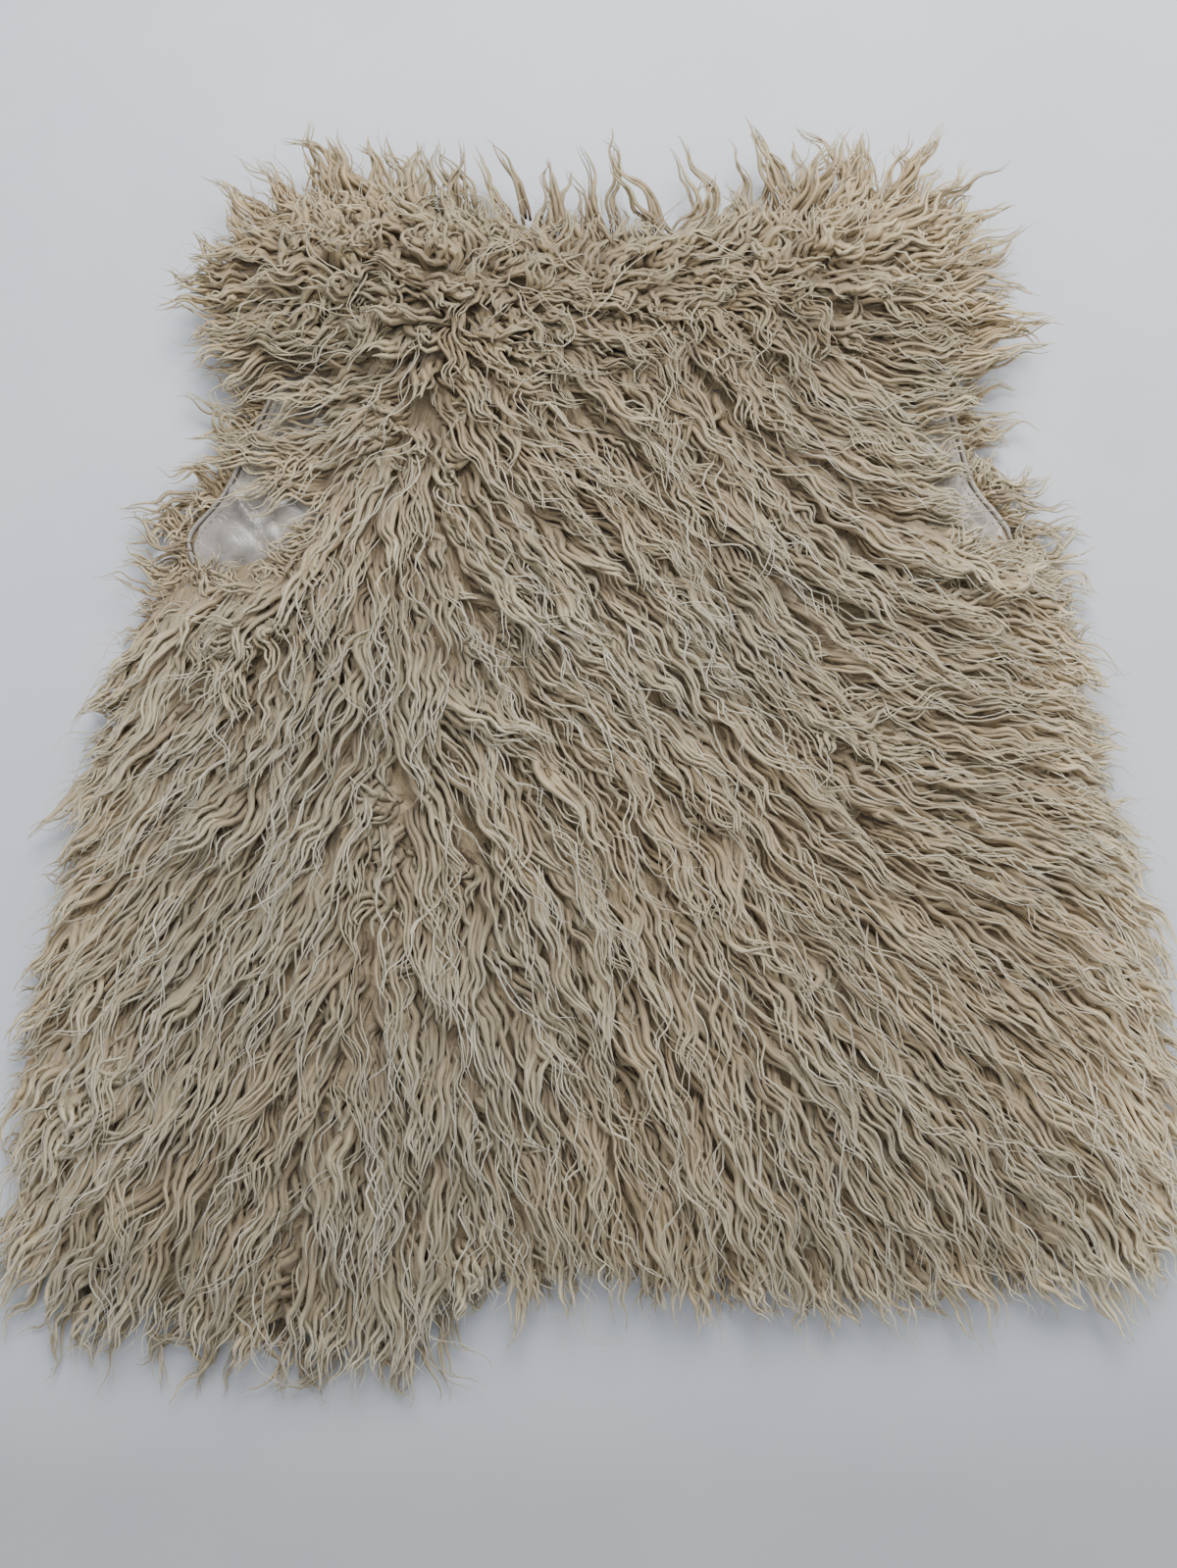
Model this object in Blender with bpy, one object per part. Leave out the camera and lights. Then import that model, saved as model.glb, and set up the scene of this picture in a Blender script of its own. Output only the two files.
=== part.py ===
"""Long-pile faux fur vest, laid flat with its back panel up.

The two fronts lie underneath with their fur pressed flat against the table, their satin
linings lie on them, and the back lies on the linings.  +Y runs toward the neck, +Z up.
Every size below is in millimetres, measured from the middle of the vest's footprint.
"""

import math
import random

import bmesh
import bpy
import numpy as np

MM = 0.001

# Seams and layers
SEAM_GAP = 0.3
FRONT_THICK = 10.0
LINING_THICK = 1.0
LINING_LOW = FRONT_THICK + SEAM_GAP
BACK_LOW = LINING_LOW + LINING_THICK + SEAM_GAP

# The back: nominal hem and neck levels, pile loft and its mesh
HEM_LEVEL = -300.0
NECK_LEVEL = 290.0
RIM_LOFT = 10.0
BODY_LOFT = 31.0
LOFT_REACH = 26.0
TUFTS_ACROSS = 12
TUFTS_DOWN = 10
CELLS_PER_TUFT = 4
TUFT_HEIGHT = 8.5
NOTCH_SHARE = 0.45
WANDER = 6.0
TUFT_ALONG = (0.0, 0.45, 0.8, 1.0)
TUFT_ACROSS = (0.0, 0.75, 1.0, 0.75)

# The middle of the footprint, in the coordinates that the tables below use
MIDDLE_X = 4.1
MIDDLE_Y = -2.5

# Rolled edge of the armholes: half a flattened bead
BEAD_WIDTH = 4.2
BEAD_HEIGHT = 2.6
FRONT_PAST_EDGE = 5.0

# Colours
FUR = (0.45, 0.37, 0.27)
PRESSED_FUR = (0.42, 0.35, 0.26)
LOCK = (0.50, 0.42, 0.31)
SATIN = (0.70, 0.65, 0.61)

# Locks: a root strip outside the rim, and one tapering lock on each stretch of it
STRIP_THICK = 3.0
ROOT_SHARE = 0.76
LOCK_STATIONS = (0.24, 0.5, 0.76)
LOCK_HALF_HEIGHT = 3.0
SWAY = 2.6
SWAYS_PER_LOCK = 1.1
LEAN = 2.0
ARCH = 3.0
LOWEST_TIP = 1.6
BESIDE_BOTH = (4.0, 13.0)
BESIDE_BACK = (BACK_LOW + 0.9, BACK_LOW + 9.4)
BESIDE_FRONT = (1.5, 9.0)


def table(columns, rows):
    """Give a short table its column names: a dict with one array for each column."""
    return dict(zip(columns.split(), np.array(rows, float).T))


# Outline of the dense pile of the back, from the hem up to the shoulder
LEFT_SIDE = table("y x", [
    (-300, -262), (-284, -274), (-262, -280), (-196, -280), (-84, -267), (30, -247),
    (60, -236), (68, -214), (74, -170), (100, -150), (182, -149), (193, -170),
    (204, -198), (230, -211), (256, -215), (276, -204), (290, -188),
])
RIGHT_SIDE = table("y x", [
    (-300, 272), (-284, 284), (-262, 291), (-229, 293), (-146, 287), (-53, 272), (35, 261),
    (72, 247), (82, 232), (89, 194), (112, 187), (176, 187), (190, 203), (202, 216),
    (235, 221), (262, 219), (290, 203),
])
BESIDE_ARMHOLES = table("y left right", [
    (-300, -262, 272), (-284, -274, 284), (-262, -280, 291), (-196, -280, 292),
    (-84, -267, 276), (30, -247, 261), (120, -228, 240), (256, -215, 220), (290, -188, 203),
])
HEM = table("x y", [
    (-262, -293), (-240, -303), (-195, -310), (-146, -321), (-104, -325), (-84, -317),
    (-62, -300), (0, -296), (60, -300), (117, -305), (160, -298), (220, -292), (272, -290),
])
NECK = table("x y", [
    (-188, 292), (-165, 302), (-130, 305), (-95, 301), (-57, 289), (-24, 279), (20, 277),
    (60, 281), (95, 291), (140, 297), (180, 301), (203, 290),
])

# Where the outline turns: heights of the underarms and armhole tops, ends of the neck edge
UNDERARM_LEFT = 57.0
UNDERARM_RIGHT = 72.0
ARMHOLE_TOP_LEFT = 206.0
ARMHOLE_TOP_RIGHT = 201.0
NECK_LEFT = -74.0
NECK_RIGHT = 90.0

# Broad swells of the pile: centre, half-widths and height
SWELLS = table("x y wide long high", [
    (-150, 262, 60, 48, 9), (160, 262, 62, 46, 8), (-10, 250, 60, 26, -6),
    (-60, 160, 90, 60, 3), (90, 90, 80, 90, 5), (-120, -40, 70, 120, 5),
    (60, -140, 110, 90, 4), (-170, -230, 70, 60, 4), (190, -200, 70, 80, 3),
    (20, -20, 40, 120, -4), (-200, 30, 40, 60, -4), (215, 20, 40, 60, -4),
])

# Armhole edge of each front, from the underarm up, and its hidden shoulder and neckline
LEFT_ARMHOLE = table("x y", [
    (-219, 74), (-223, 92), (-212, 108), (-203, 122), (-191, 154), (-177, 190),
])
RIGHT_ARMHOLE = table("x y", [
    (236, 88), (234, 98), (221, 116), (215, 130), (211, 152), (205, 186),
])
LEFT_SHOULDER = table("x y", [(-184, 226), (-188, 262), (-176, 276), (-72, 284)])
RIGHT_SHOULDER = table("x y", [(206, 222), (208, 258), (196, 276), (92, 284)])
ARMHOLE_STEPS = 10
FRONT_OPENING = 10.0
FRONT_NECK_DEPTH = table("share y", [(0, 284), (0.15, 254), (0.5, 219), (1.0, 207)])

# Locks along each run of the outline, taken anticlockwise: heading in degrees from +X,
# reach past the rim and height of the tip above the table
HEM_LOCKS = table("share heading reach tip", [
    (0, 244, 30, 2.5), (0.15, 256, 32, 2.5), (0.33, 268, 18, 2.5), (0.42, 272, 36, 2.5),
    (0.7, 284, 36, 2.5), (0.9, 294, 32, 2.5), (1, 301, 30, 2.5),
])
SIDE_LOCKS_RIGHT = table("share heading reach tip", [
    (0, 303, 28, 2.5), (0.25, 318, 22, 3), (0.6, 332, 28, 4), (0.85, 345, 40, 6), (1, 352, 32, 6),
])
ARMHOLE_LOCKS_RIGHT = table("share heading reach tip", [
    (0, 352, 42, 3), (0.4, 358, 50, 3), (0.7, 364, 34, 3), (1, 368, 30, 3),
])
SHOULDER_LOCKS_RIGHT = table("share heading reach tip", [
    (0, -8, 30, 6), (0.3, 10, 34, 9), (0.5, 44, 38, 12), (0.75, 66, 42, 12), (1, 80, 44, 14),
])
NECK_LOCKS = table("share heading reach tip", [
    (0, 82, 40, 16), (0.4, 87, 36, 18), (0.7, 92, 40, 18), (1, 95, 42, 16),
])
SHOULDER_LOCKS_LEFT = table("share heading reach tip", [
    (0, 97, 42, 14), (0.25, 108, 40, 12), (0.5, 136, 36, 12), (0.7, 168, 34, 9), (1, 190, 30, 6),
])
ARMHOLE_LOCKS_LEFT = table("share heading reach tip", [
    (0, 180, 34, 3), (0.3, 184, 40, 3), (0.6, 190, 58, 3), (1, 196, 52, 3),
])
SIDE_LOCKS_LEFT = table("share heading reach tip", [
    (0, 196, 34, 6), (0.15, 203, 40, 6), (0.4, 214, 34, 4), (0.75, 225, 30, 3), (1, 240, 28, 2.5),
])


def smooth(x, xs, ys):
    """Read a table smoothly with no overshoot: a cubic with Fritsch-Carlson slopes."""
    x = np.clip(np.asarray(x, float), xs[0], xs[-1])
    width = np.diff(xs)
    slope = np.diff(ys) / width
    ends = np.zeros(len(xs))
    same_way = slope[:-1] * slope[1:] > 0
    mean = 2 * slope[:-1] * slope[1:] / np.where(same_way, slope[:-1] + slope[1:], 1)
    ends[1:-1] = np.where(same_way, mean, 0)
    ends[0] = slope[0]
    ends[-1] = slope[-1]
    i = np.clip(np.searchsorted(xs, x) - 1, 0, len(xs) - 2)
    t = (x - xs[i]) / width[i]
    low, high = ys[i], ys[i + 1]
    return (
        low * (1 + 2 * t) * (1 - t) ** 2
        + width[i] * ends[i] * t * (1 - t) ** 2
        + high * t**2 * (3 - 2 * t)
        + width[i] * ends[i + 1] * t**2 * (t - 1)
    )


def curve_through(xs, ys, steps):
    """Points spaced evenly along a Catmull-Rom curve through the table's points."""
    points = np.column_stack([xs, ys])
    before = np.vstack([2 * points[0] - points[1], points[:-2]])
    start, end = points[:-1], points[1:]
    after = np.vstack([points[2:], 2 * points[-1] - points[-2]])
    t = np.linspace(0, 1, 24, endpoint=False)[:, None, None]
    dense = 0.5 * (
        2 * start
        + (end - before) * t
        + (2 * before - 5 * start + 4 * end - after) * t**2
        + (3 * start - before - 3 * end + after) * t**3
    )
    dense = np.vstack([dense.transpose(1, 0, 2).reshape(-1, 2), points[-1]])
    along = np.concatenate([[0], np.cumsum(np.linalg.norm(np.diff(dense, axis=0), axis=1))])
    wanted = np.linspace(0, along[-1], steps + 1)
    return np.column_stack([np.interp(wanted, along, dense[:, k]) for k in (0, 1)])


def moved_out(path, distance, closed):
    """Shift a path sideways to its right, each straight stretch by the same distance."""
    ahead = np.roll(path, -1, axis=0) - path
    ahead /= np.linalg.norm(ahead, axis=1)[:, None]
    behind = np.roll(ahead, 1, axis=0)
    if not closed:
        ahead[-1] = behind[-1]
        behind[0] = ahead[0]
    sideways = np.column_stack([ahead[:, 1] + behind[:, 1], -ahead[:, 0] - behind[:, 0]])
    return path + 2 * distance * sideways / (sideways**2).sum(axis=1)[:, None]


def add_object(name, points, faces, colour, roughness):
    """One closed body with its own material, from points in millimetres."""
    mesh = bpy.data.meshes.new(name)
    placed = np.asarray(points, float) - (MIDDLE_X, MIDDLE_Y, 0)
    mesh.from_pydata((placed * MM).tolist(), [], faces)
    body = bmesh.new()
    body.from_mesh(mesh)
    bmesh.ops.recalc_face_normals(body, faces=body.faces)
    body.to_mesh(mesh)
    body.free()
    material = bpy.data.materials.new(name)
    material.use_nodes = True
    shader = material.node_tree.nodes["Principled BSDF"]
    shader.inputs["Base Color"].default_value = (*colour, 1)
    shader.inputs["Roughness"].default_value = roughness
    mesh.materials.append(material)
    thing = bpy.data.objects.new(name, mesh)
    bpy.context.collection.objects.link(thing)
    return thing


def add_plate(name, outline, low, high, colour, roughness):
    """A flat wall: the outline as its underside and top, joined by a side wall."""
    count = len(outline)
    bottom = np.column_stack([outline, np.full(count, low)])
    top = np.column_stack([outline, np.full(count, high)])
    sides = [(i, (i + 1) % count, (i + 1) % count + count, i + count) for i in range(count)]
    caps = [tuple(range(count)), tuple(range(count, 2 * count))]
    return add_object(name, np.vstack([bottom, top]), sides + caps, colour, roughness)


def back_plan():
    """The grid of the back in plan: rows from hem to neck, each from left to right."""
    across = np.linspace(0, 1, TUFTS_ACROSS * CELLS_PER_TUFT + 1)[None, :]
    up = np.linspace(0, 1, TUFTS_DOWN * CELLS_PER_TUFT + 1)[:, None]
    level = HEM_LEVEL + (NECK_LEVEL - HEM_LEVEL) * up
    left = smooth(level, BESIDE_ARMHOLES["y"], BESIDE_ARMHOLES["left"])
    right = smooth(level, BESIDE_ARMHOLES["y"], BESIDE_ARMHOLES["right"])
    left_notch = smooth(level, LEFT_SIDE["y"], LEFT_SIDE["x"]) - left
    right_notch = smooth(level, RIGHT_SIDE["y"], RIGHT_SIDE["x"]) - right
    x = left + (right - left) * across
    x += left_notch * np.maximum(1 - across / NOTCH_SHARE, 0) ** 1.5
    x += right_notch * np.maximum(1 - (1 - across) / NOTCH_SHARE, 0) ** 1.5
    hem = smooth(x, HEM["x"], HEM["y"]) - HEM_LEVEL
    neck = smooth(x, NECK["x"], NECK["y"]) - NECK_LEVEL
    y = level + hem * (1 - up) ** 3 + neck * up**3
    calm = 16 * across * (1 - across) * up * (1 - up)
    wave_x = WANDER * np.sin(y / 34 + x / 90) * calm
    wave_y = WANDER * np.sin(x / 31 - y / 70) * calm
    return x + wave_x, y + wave_y


def pile_height(x, y):
    """Height of the pile: a rim, a rounded shoulder inside it, swells and tufts."""
    rows, columns = x.shape
    reach = np.minimum(x - x[:, :1], x[:, -1:] - x)
    reach = np.minimum(reach, np.minimum(y - y[:1], y[-1:] - y))
    inside = 1 - np.exp(-np.maximum(reach, 0) / LOFT_REACH)
    height = RIM_LOFT + (BODY_LOFT - RIM_LOFT) * inside
    for cx, cy, wide, long, high in zip(*SWELLS.values()):
        height += high * inside * np.exp(-(((x - cx) / wide) ** 2) - ((y - cy) / long) ** 2)
    chance = random.Random(7)
    size = [
        [chance.uniform(0.45, 1.15) for _ in range(TUFTS_ACROSS + 1)]
        for _ in range(TUFTS_DOWN + 1)
    ]
    for j in range(rows):
        tuft_row, along = divmod(rows - 1 - j, CELLS_PER_TUFT)
        for i in range(columns):
            shifted = i + (tuft_row % 2) * CELLS_PER_TUFT // 2
            tuft_column, sideways = divmod(shifted, CELLS_PER_TUFT)
            bulge = TUFT_ALONG[along] * TUFT_ACROSS[sideways]
            height[j, i] += TUFT_HEIGHT * inside[j, i] * bulge * size[tuft_row][tuft_column]
    return height


def grid_rim(rows, columns):
    """Indices of the grid's border, anticlockwise from the left end of the hem."""
    hem = [i for i in range(columns - 1)]
    right = [j * columns + columns - 1 for j in range(rows - 1)]
    neck = [(rows - 1) * columns + i for i in range(columns - 1, 0, -1)]
    left = [j * columns for j in range(rows - 1, 0, -1)]
    return hem + right + neck + left


def add_back(x, y):
    """The back panel: pile on top of a plain flat inside."""
    rows, columns = x.shape
    top = np.column_stack([x.ravel(), y.ravel(), BACK_LOW + pile_height(x, y).ravel()])
    rim = grid_rim(rows, columns)
    under = top[rim].copy()
    under[:, 2] = BACK_LOW
    faces = []
    for j in range(rows - 1):
        for i in range(columns - 1):
            corner = j * columns + i
            faces.append((corner, corner + 1, corner + columns + 1, corner + columns))
    first = len(top)
    count = len(rim)
    for k in range(count):
        following = (k + 1) % count
        faces.append((rim[k], rim[following], first + following, first + k))
    faces.append(tuple(range(first, first + count)))
    add_object("back", np.vstack([top, under]), faces, FUR, 0.8)


def front_outline(side, rim, edge, shoulder):
    """A front from the opening round its hem, side, armhole, shoulder and neckline.

    side is -1 for the left front and +1 for the right one.  rim is the stretch of the
    back's outline that the front shares, from the opening's foot up to the underarm.
    """
    opening = FRONT_OPENING + side * SEAM_GAP / 2
    top = curve_through(shoulder["x"], shoulder["y"], 8)
    share = np.linspace(0, 1, 7)[1:]
    neck_x = top[-1, 0] + (opening - top[-1, 0]) * share
    neck_y = smooth(share, FRONT_NECK_DEPTH["share"], FRONT_NECK_DEPTH["y"])
    foot = [[opening, smooth(opening, HEM["x"], HEM["y"])]]
    return np.vstack([foot, rim, edge, top, np.column_stack([neck_x, neck_y])])


def add_rolled_edge(name, path):
    """The armhole's rolled edge: a low bead with a flat foot along the path."""
    half = BEAD_WIDTH / 2
    corners = [(-half, 0), (-half, 0.5), (-half * 0.5, 1), (half * 0.5, 1), (half, 0.5), (half, 0)]
    rings = []
    for sideways, up in corners:
        line = moved_out(path, sideways, closed=False)
        rings.append(np.column_stack([line, np.full(len(line), LINING_LOW + BEAD_HEIGHT * up)]))
    points = np.stack(rings, axis=1).reshape(-1, 3)
    sides = len(corners)
    faces = [tuple(range(sides)), tuple(range(len(points) - sides, len(points)))]
    for k in range(len(path) - 1):
        for c in range(sides):
            a = k * sides + c
            b = k * sides + (c + 1) % sides
            faces.append((a, b, b + sides, a + sides))
    add_object(name, points, faces, SATIN, 0.45)


def lock_rings(root, along, heading, reach, tip, chance, phase):
    """Corners of one lock, ring by ring, from beside its root to its tip.

    The middle line runs out along the heading, sways sideways in a wave that the
    neighbours share, arches a little and sinks to the tip.
    """
    ahead = np.array([math.cos(heading), math.sin(heading)])
    sideways = np.array([-ahead[1], ahead[0]])
    if sideways @ along[:2] < 0:
        sideways = -sideways
    wide = abs(sideways @ along[:2]) * ROOT_SHARE / 2
    arch = chance.uniform(0.2, 1.0) * ARCH
    lean = chance.uniform(-1.0, 1.0) * LEAN
    rings = []
    for t in (*LOCK_STATIONS, 1.0):
        shift = SWAY * t * math.sin(2 * math.pi * SWAYS_PER_LOCK * t + phase) + lean * t * t
        middle = root[:2] + ahead * reach * t + sideways * shift
        z = root[2] + (tip - root[2]) * t**1.5 + arch * math.sin(math.pi * t)
        taper = (1 - t) ** 0.75
        half = sideways * wide * taper
        high = LOCK_HALF_HEIGHT * taper
        low = max(z - high, LOWEST_TIP)
        rings.append([
            (*(middle - half), low), (*(middle + half), low),
            (*(middle + half), z + high), (*(middle - half), z + high),
        ])
    x, y = middle
    return rings[:-1], (x, y, max(z, LOWEST_TIP))


def add_locks(name, run, layer, spec, seed):
    """A root strip along a run of the outline, with one lock on each stretch of it."""
    chance = random.Random(seed)
    low, high = layer
    inner = moved_out(run, SEAM_GAP, closed=False)
    outer = moved_out(run, SEAM_GAP + STRIP_THICK, closed=False)
    stretch = outer[1:] - outer[:-1]
    start = outer[:-1] + stretch * (1 - ROOT_SHARE) / 2
    end = outer[1:] - stretch * (1 - ROOT_SHARE) / 2
    count = len(stretch)
    trim = 2 * SEAM_GAP / np.linalg.norm(stretch[[0, -1]], axis=1)
    inner[0] += (inner[1] - inner[0]) * trim[0]
    inner[-1] += (inner[-2] - inner[-1]) * trim[1]

    points = []
    for x, y in inner:
        points += [(x, y, low), (x, y, high)]
    base = len(points)
    for a, b in zip(start, end):
        points += [(*a, low), (*b, low), (*b, high), (*a, high)]
    faces = [(0, 1, base + 3, base)]
    for k in range(count):
        low_in, high_in = 2 * k, 2 * k + 1
        q = base + 4 * k
        faces.append((low_in, high_in, high_in + 2, low_in + 2))
        faces.append((low_in, low_in + 2, q + 1, q))
        faces.append((high_in, high_in + 2, q + 2, q + 3))
        if k + 1 < count:
            faces.append((low_in + 2, q + 1, q + 4))
            faces.append((high_in + 2, q + 2, q + 7))
            faces.append((q + 1, q + 4, q + 7, q + 2))
    last = base + 4 * (count - 1)
    faces.append((2 * count, 2 * count + 1, last + 2, last + 1))

    phase = chance.uniform(0, 2 * math.pi)
    for k in range(count):
        share = (k + 0.5) / count
        heading = math.radians(np.interp(share, spec["share"], spec["heading"]))
        reach = np.interp(share, spec["share"], spec["reach"]) * chance.uniform(0.55, 1.05)
        tip = np.interp(share, spec["share"], spec["tip"])
        phase += chance.uniform(0.1, 0.5)
        root = np.array([*(start[k] + end[k]) / 2, (low + high) / 2])
        rings, point = lock_rings(root, stretch[k], heading, reach, tip, chance, phase)
        behind = base + 4 * k
        for ring in rings:
            here = len(points)
            points += ring
            for c in range(4):
                d = (c + 1) % 4
                faces.append((behind + c, behind + d, here + d, here + c))
            behind = here
        points.append(point)
        for c in range(4):
            faces.append((behind + c, behind + (c + 1) % 4, len(points) - 1))
    add_object(name, points, faces, LOCK, 0.75)


def build():
    """Make every piece, from the table up."""
    for old in list(bpy.data.objects):
        bpy.data.objects.remove(old, do_unlink=True)

    x, y = back_plan()
    rows, columns = x.shape
    add_back(x, y)
    outline = np.column_stack([x.ravel(), y.ravel()])[grid_rim(rows, columns)]
    outline = np.vstack([outline, outline[:1]])

    # Corners of the outline, then its underarms, armhole tops and ends of the neck edge
    hem_end = columns - 1
    right_end = hem_end + rows - 1
    neck_end = right_end + columns - 1
    left_end = neck_end + rows - 1
    right_under = hem_end + int(np.argmin(np.abs(y[:, -1] - UNDERARM_RIGHT)))
    right_top = hem_end + int(np.argmin(np.abs(y[:, -1] - ARMHOLE_TOP_RIGHT)))
    neck_right = neck_end - int(np.argmin(np.abs(x[-1] - NECK_RIGHT)))
    neck_left = neck_end - int(np.argmin(np.abs(x[-1] - NECK_LEFT)))
    left_top = left_end - int(np.argmin(np.abs(y[:, 0] - ARMHOLE_TOP_LEFT)))
    left_under = left_end - int(np.argmin(np.abs(y[:, 0] - UNDERARM_LEFT)))

    # Fronts, linings and rolled edges, the left front's outline taken the other way round
    foot = int(np.argmin(np.abs(x[0] - FRONT_OPENING)))
    right_rim = outline[foot + 1 : right_under + 1]
    left_rim = np.vstack([outline[:foot][::-1], outline[left_under:left_end][::-1]])
    edges = {}
    for label, side, rim, armhole, shoulder in (
        ("left", -1, left_rim, LEFT_ARMHOLE, LEFT_SHOULDER),
        ("right", 1, right_rim, RIGHT_ARMHOLE, RIGHT_SHOULDER),
    ):
        line = curve_through(armhole["x"], armhole["y"], ARMHOLE_STEPS)
        edges[label] = moved_out(line, side * FRONT_PAST_EDGE, closed=False)
        shape = front_outline(side, rim, edges[label], shoulder)
        add_plate(f"front_{label}", shape, 0.0, FRONT_THICK, PRESSED_FUR, 0.85)
        inset = moved_out(shape, -side * FRONT_PAST_EDGE, closed=True)
        lining_high = LINING_LOW + LINING_THICK
        add_plate(f"lining_{label}", inset, LINING_LOW, lining_high, SATIN, 0.3)
        centre = side * (SEAM_GAP + BEAD_WIDTH / 2)
        add_rolled_edge(f"armhole_edge_{label}", moved_out(line, centre, closed=False)[1:-1])

    # Locks all round, anticlockwise from the left end of the hem
    right_side = outline[hem_end : right_under + 1]
    right_shoulder = outline[right_top : neck_right + 1]
    left_shoulder = outline[neck_left : left_top + 1]
    runs = (
        ("hem_locks", outline[: hem_end + 1], BESIDE_BOTH, HEM_LOCKS),
        ("side_locks_right", right_side, BESIDE_BOTH, SIDE_LOCKS_RIGHT),
        ("armhole_locks_right", edges["right"], BESIDE_FRONT, ARMHOLE_LOCKS_RIGHT),
        ("shoulder_locks_right", right_shoulder, BESIDE_BACK, SHOULDER_LOCKS_RIGHT),
        ("neck_locks", outline[neck_right : neck_left + 1], BESIDE_BACK, NECK_LOCKS),
        ("shoulder_locks_left", left_shoulder, BESIDE_BACK, SHOULDER_LOCKS_LEFT),
        ("armhole_locks_left", edges["left"][::-1], BESIDE_FRONT, ARMHOLE_LOCKS_LEFT),
        ("side_locks_left", outline[left_under:], BESIDE_BOTH, SIDE_LOCKS_LEFT),
    )
    for seed, (name, run, layer, spec) in enumerate(runs, start=11):
        add_locks(name, run, layer, spec, seed)


build()
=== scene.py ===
# %% [markdown]
# A long-pile faux fur vest, laid flat with its back up.  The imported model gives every
# panel's place and outline.  This lesson dresses it: cloth, satin, stitches, then some twelve
# thousand curly locks of fur, all worked out with numpy as whole arrays.

import math

import bmesh
import bpy
import numpy as np
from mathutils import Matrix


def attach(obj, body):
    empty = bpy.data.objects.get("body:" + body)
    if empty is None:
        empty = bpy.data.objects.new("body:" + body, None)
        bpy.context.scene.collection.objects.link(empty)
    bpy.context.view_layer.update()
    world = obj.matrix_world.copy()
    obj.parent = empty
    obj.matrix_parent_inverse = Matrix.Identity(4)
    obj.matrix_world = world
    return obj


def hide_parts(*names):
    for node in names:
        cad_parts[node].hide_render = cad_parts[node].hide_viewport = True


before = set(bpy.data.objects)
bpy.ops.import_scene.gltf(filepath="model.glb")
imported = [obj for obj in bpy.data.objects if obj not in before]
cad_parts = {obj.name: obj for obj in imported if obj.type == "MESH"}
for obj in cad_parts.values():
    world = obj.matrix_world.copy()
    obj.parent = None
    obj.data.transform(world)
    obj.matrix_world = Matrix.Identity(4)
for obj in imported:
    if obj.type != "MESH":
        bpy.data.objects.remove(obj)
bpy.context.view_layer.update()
MM = 0.001
print("solids:", sorted(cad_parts))

# %% [markdown]
# The photograph was taken from almost straight above, with the camera leaning a little
# toward the neck.  A camera could be turned until the picture looks right, but it is
# surer to write down its height, its lean and its lens, and to leave them alone after.

# %% Camera
PHOTO_HIGH = 1599
LENS_PIXELS = 1250.0
SENSOR_MM = 36.0
CAMERA_LEAN = math.radians(12.0)
CAMERA_HEIGHT = 0.66
AIM_X, AIM_Y = -0.0041, -0.0455

camera_data = bpy.data.cameras.new("camera")
camera_data.sensor_width = SENSOR_MM
camera_data.lens = LENS_PIXELS / PHOTO_HIGH * SENSOR_MM
camera = bpy.data.objects.new("camera", camera_data)
camera.location = (AIM_X, AIM_Y - math.tan(CAMERA_LEAN) * CAMERA_HEIGHT, CAMERA_HEIGHT)
camera.rotation_euler = (CAMERA_LEAN, 0, 0)
bpy.context.collection.objects.link(camera)
bpy.context.scene.camera = camera
print("camera above", [round(v, 3) for v in camera.location])

# %% [markdown]
# Everything else is placed by the solids.  Each panel's solid has a flat underside, so its
# outline can be read from the border of that underside.  From the outline comes a chart of
# the distance to the edge, at points 4 mm apart, which tells any lock of fur how far it is
# from the rim.  A chart is read between its points by mixing the four nearest.

# %% Charts: distance to a panel's edge
CHART_STEP = 4.0
CHART_X = np.arange(-352.0, 353.0, CHART_STEP)
CHART_Y = np.arange(-392.0, 393.0, CHART_STEP)


def read_chart(chart, x, y):
    """Value of a chart at any points: a mix of its four nearest values."""
    i = np.clip((x - CHART_X[0]) / CHART_STEP, 0, len(CHART_X) - 1.001)
    j = np.clip((y - CHART_Y[0]) / CHART_STEP, 0, len(CHART_Y) - 1.001)
    i0, j0 = i.astype(int), j.astype(int)
    u, v = i - i0, j - j0
    low = chart[j0, i0] * (1 - u) + chart[j0, i0 + 1] * u
    high = chart[j0 + 1, i0] * (1 - u) + chart[j0 + 1, i0 + 1] * u
    return low * (1 - v) + high * v


def node_points(name):
    """Every corner of a solid, in millimetres."""
    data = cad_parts[name].data
    points = np.empty(len(data.vertices) * 3)
    data.vertices.foreach_get("co", points)
    return points.reshape(-1, 3) / MM


def underside_border(name):
    """Start and end points of the stretches round a solid's flat underside, in order."""
    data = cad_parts[name].data
    points = node_points(name)
    corners = np.empty(len(data.loops), int)
    data.loops.foreach_get("vertex_index", corners)
    faces = points[corners.reshape(-1, 3)]
    flat = np.all(faces[:, :, 2] < points[:, 2].min() + 0.05, axis=1)
    stretches = {}
    for face in np.round(faces[flat][:, :, :2], 2).tolist():
        for k in range(3):
            start, end = tuple(face[k]), tuple(face[(k + 1) % 3])
            if (end, start) in stretches:
                del stretches[(end, start)]
            else:
                stretches[(start, end)] = True
    following = dict(stretches.keys())
    path = [next(iter(following))]
    while following[path[-1]] != path[0]:
        path.append(following[path[-1]])
    return np.array(path)


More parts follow.
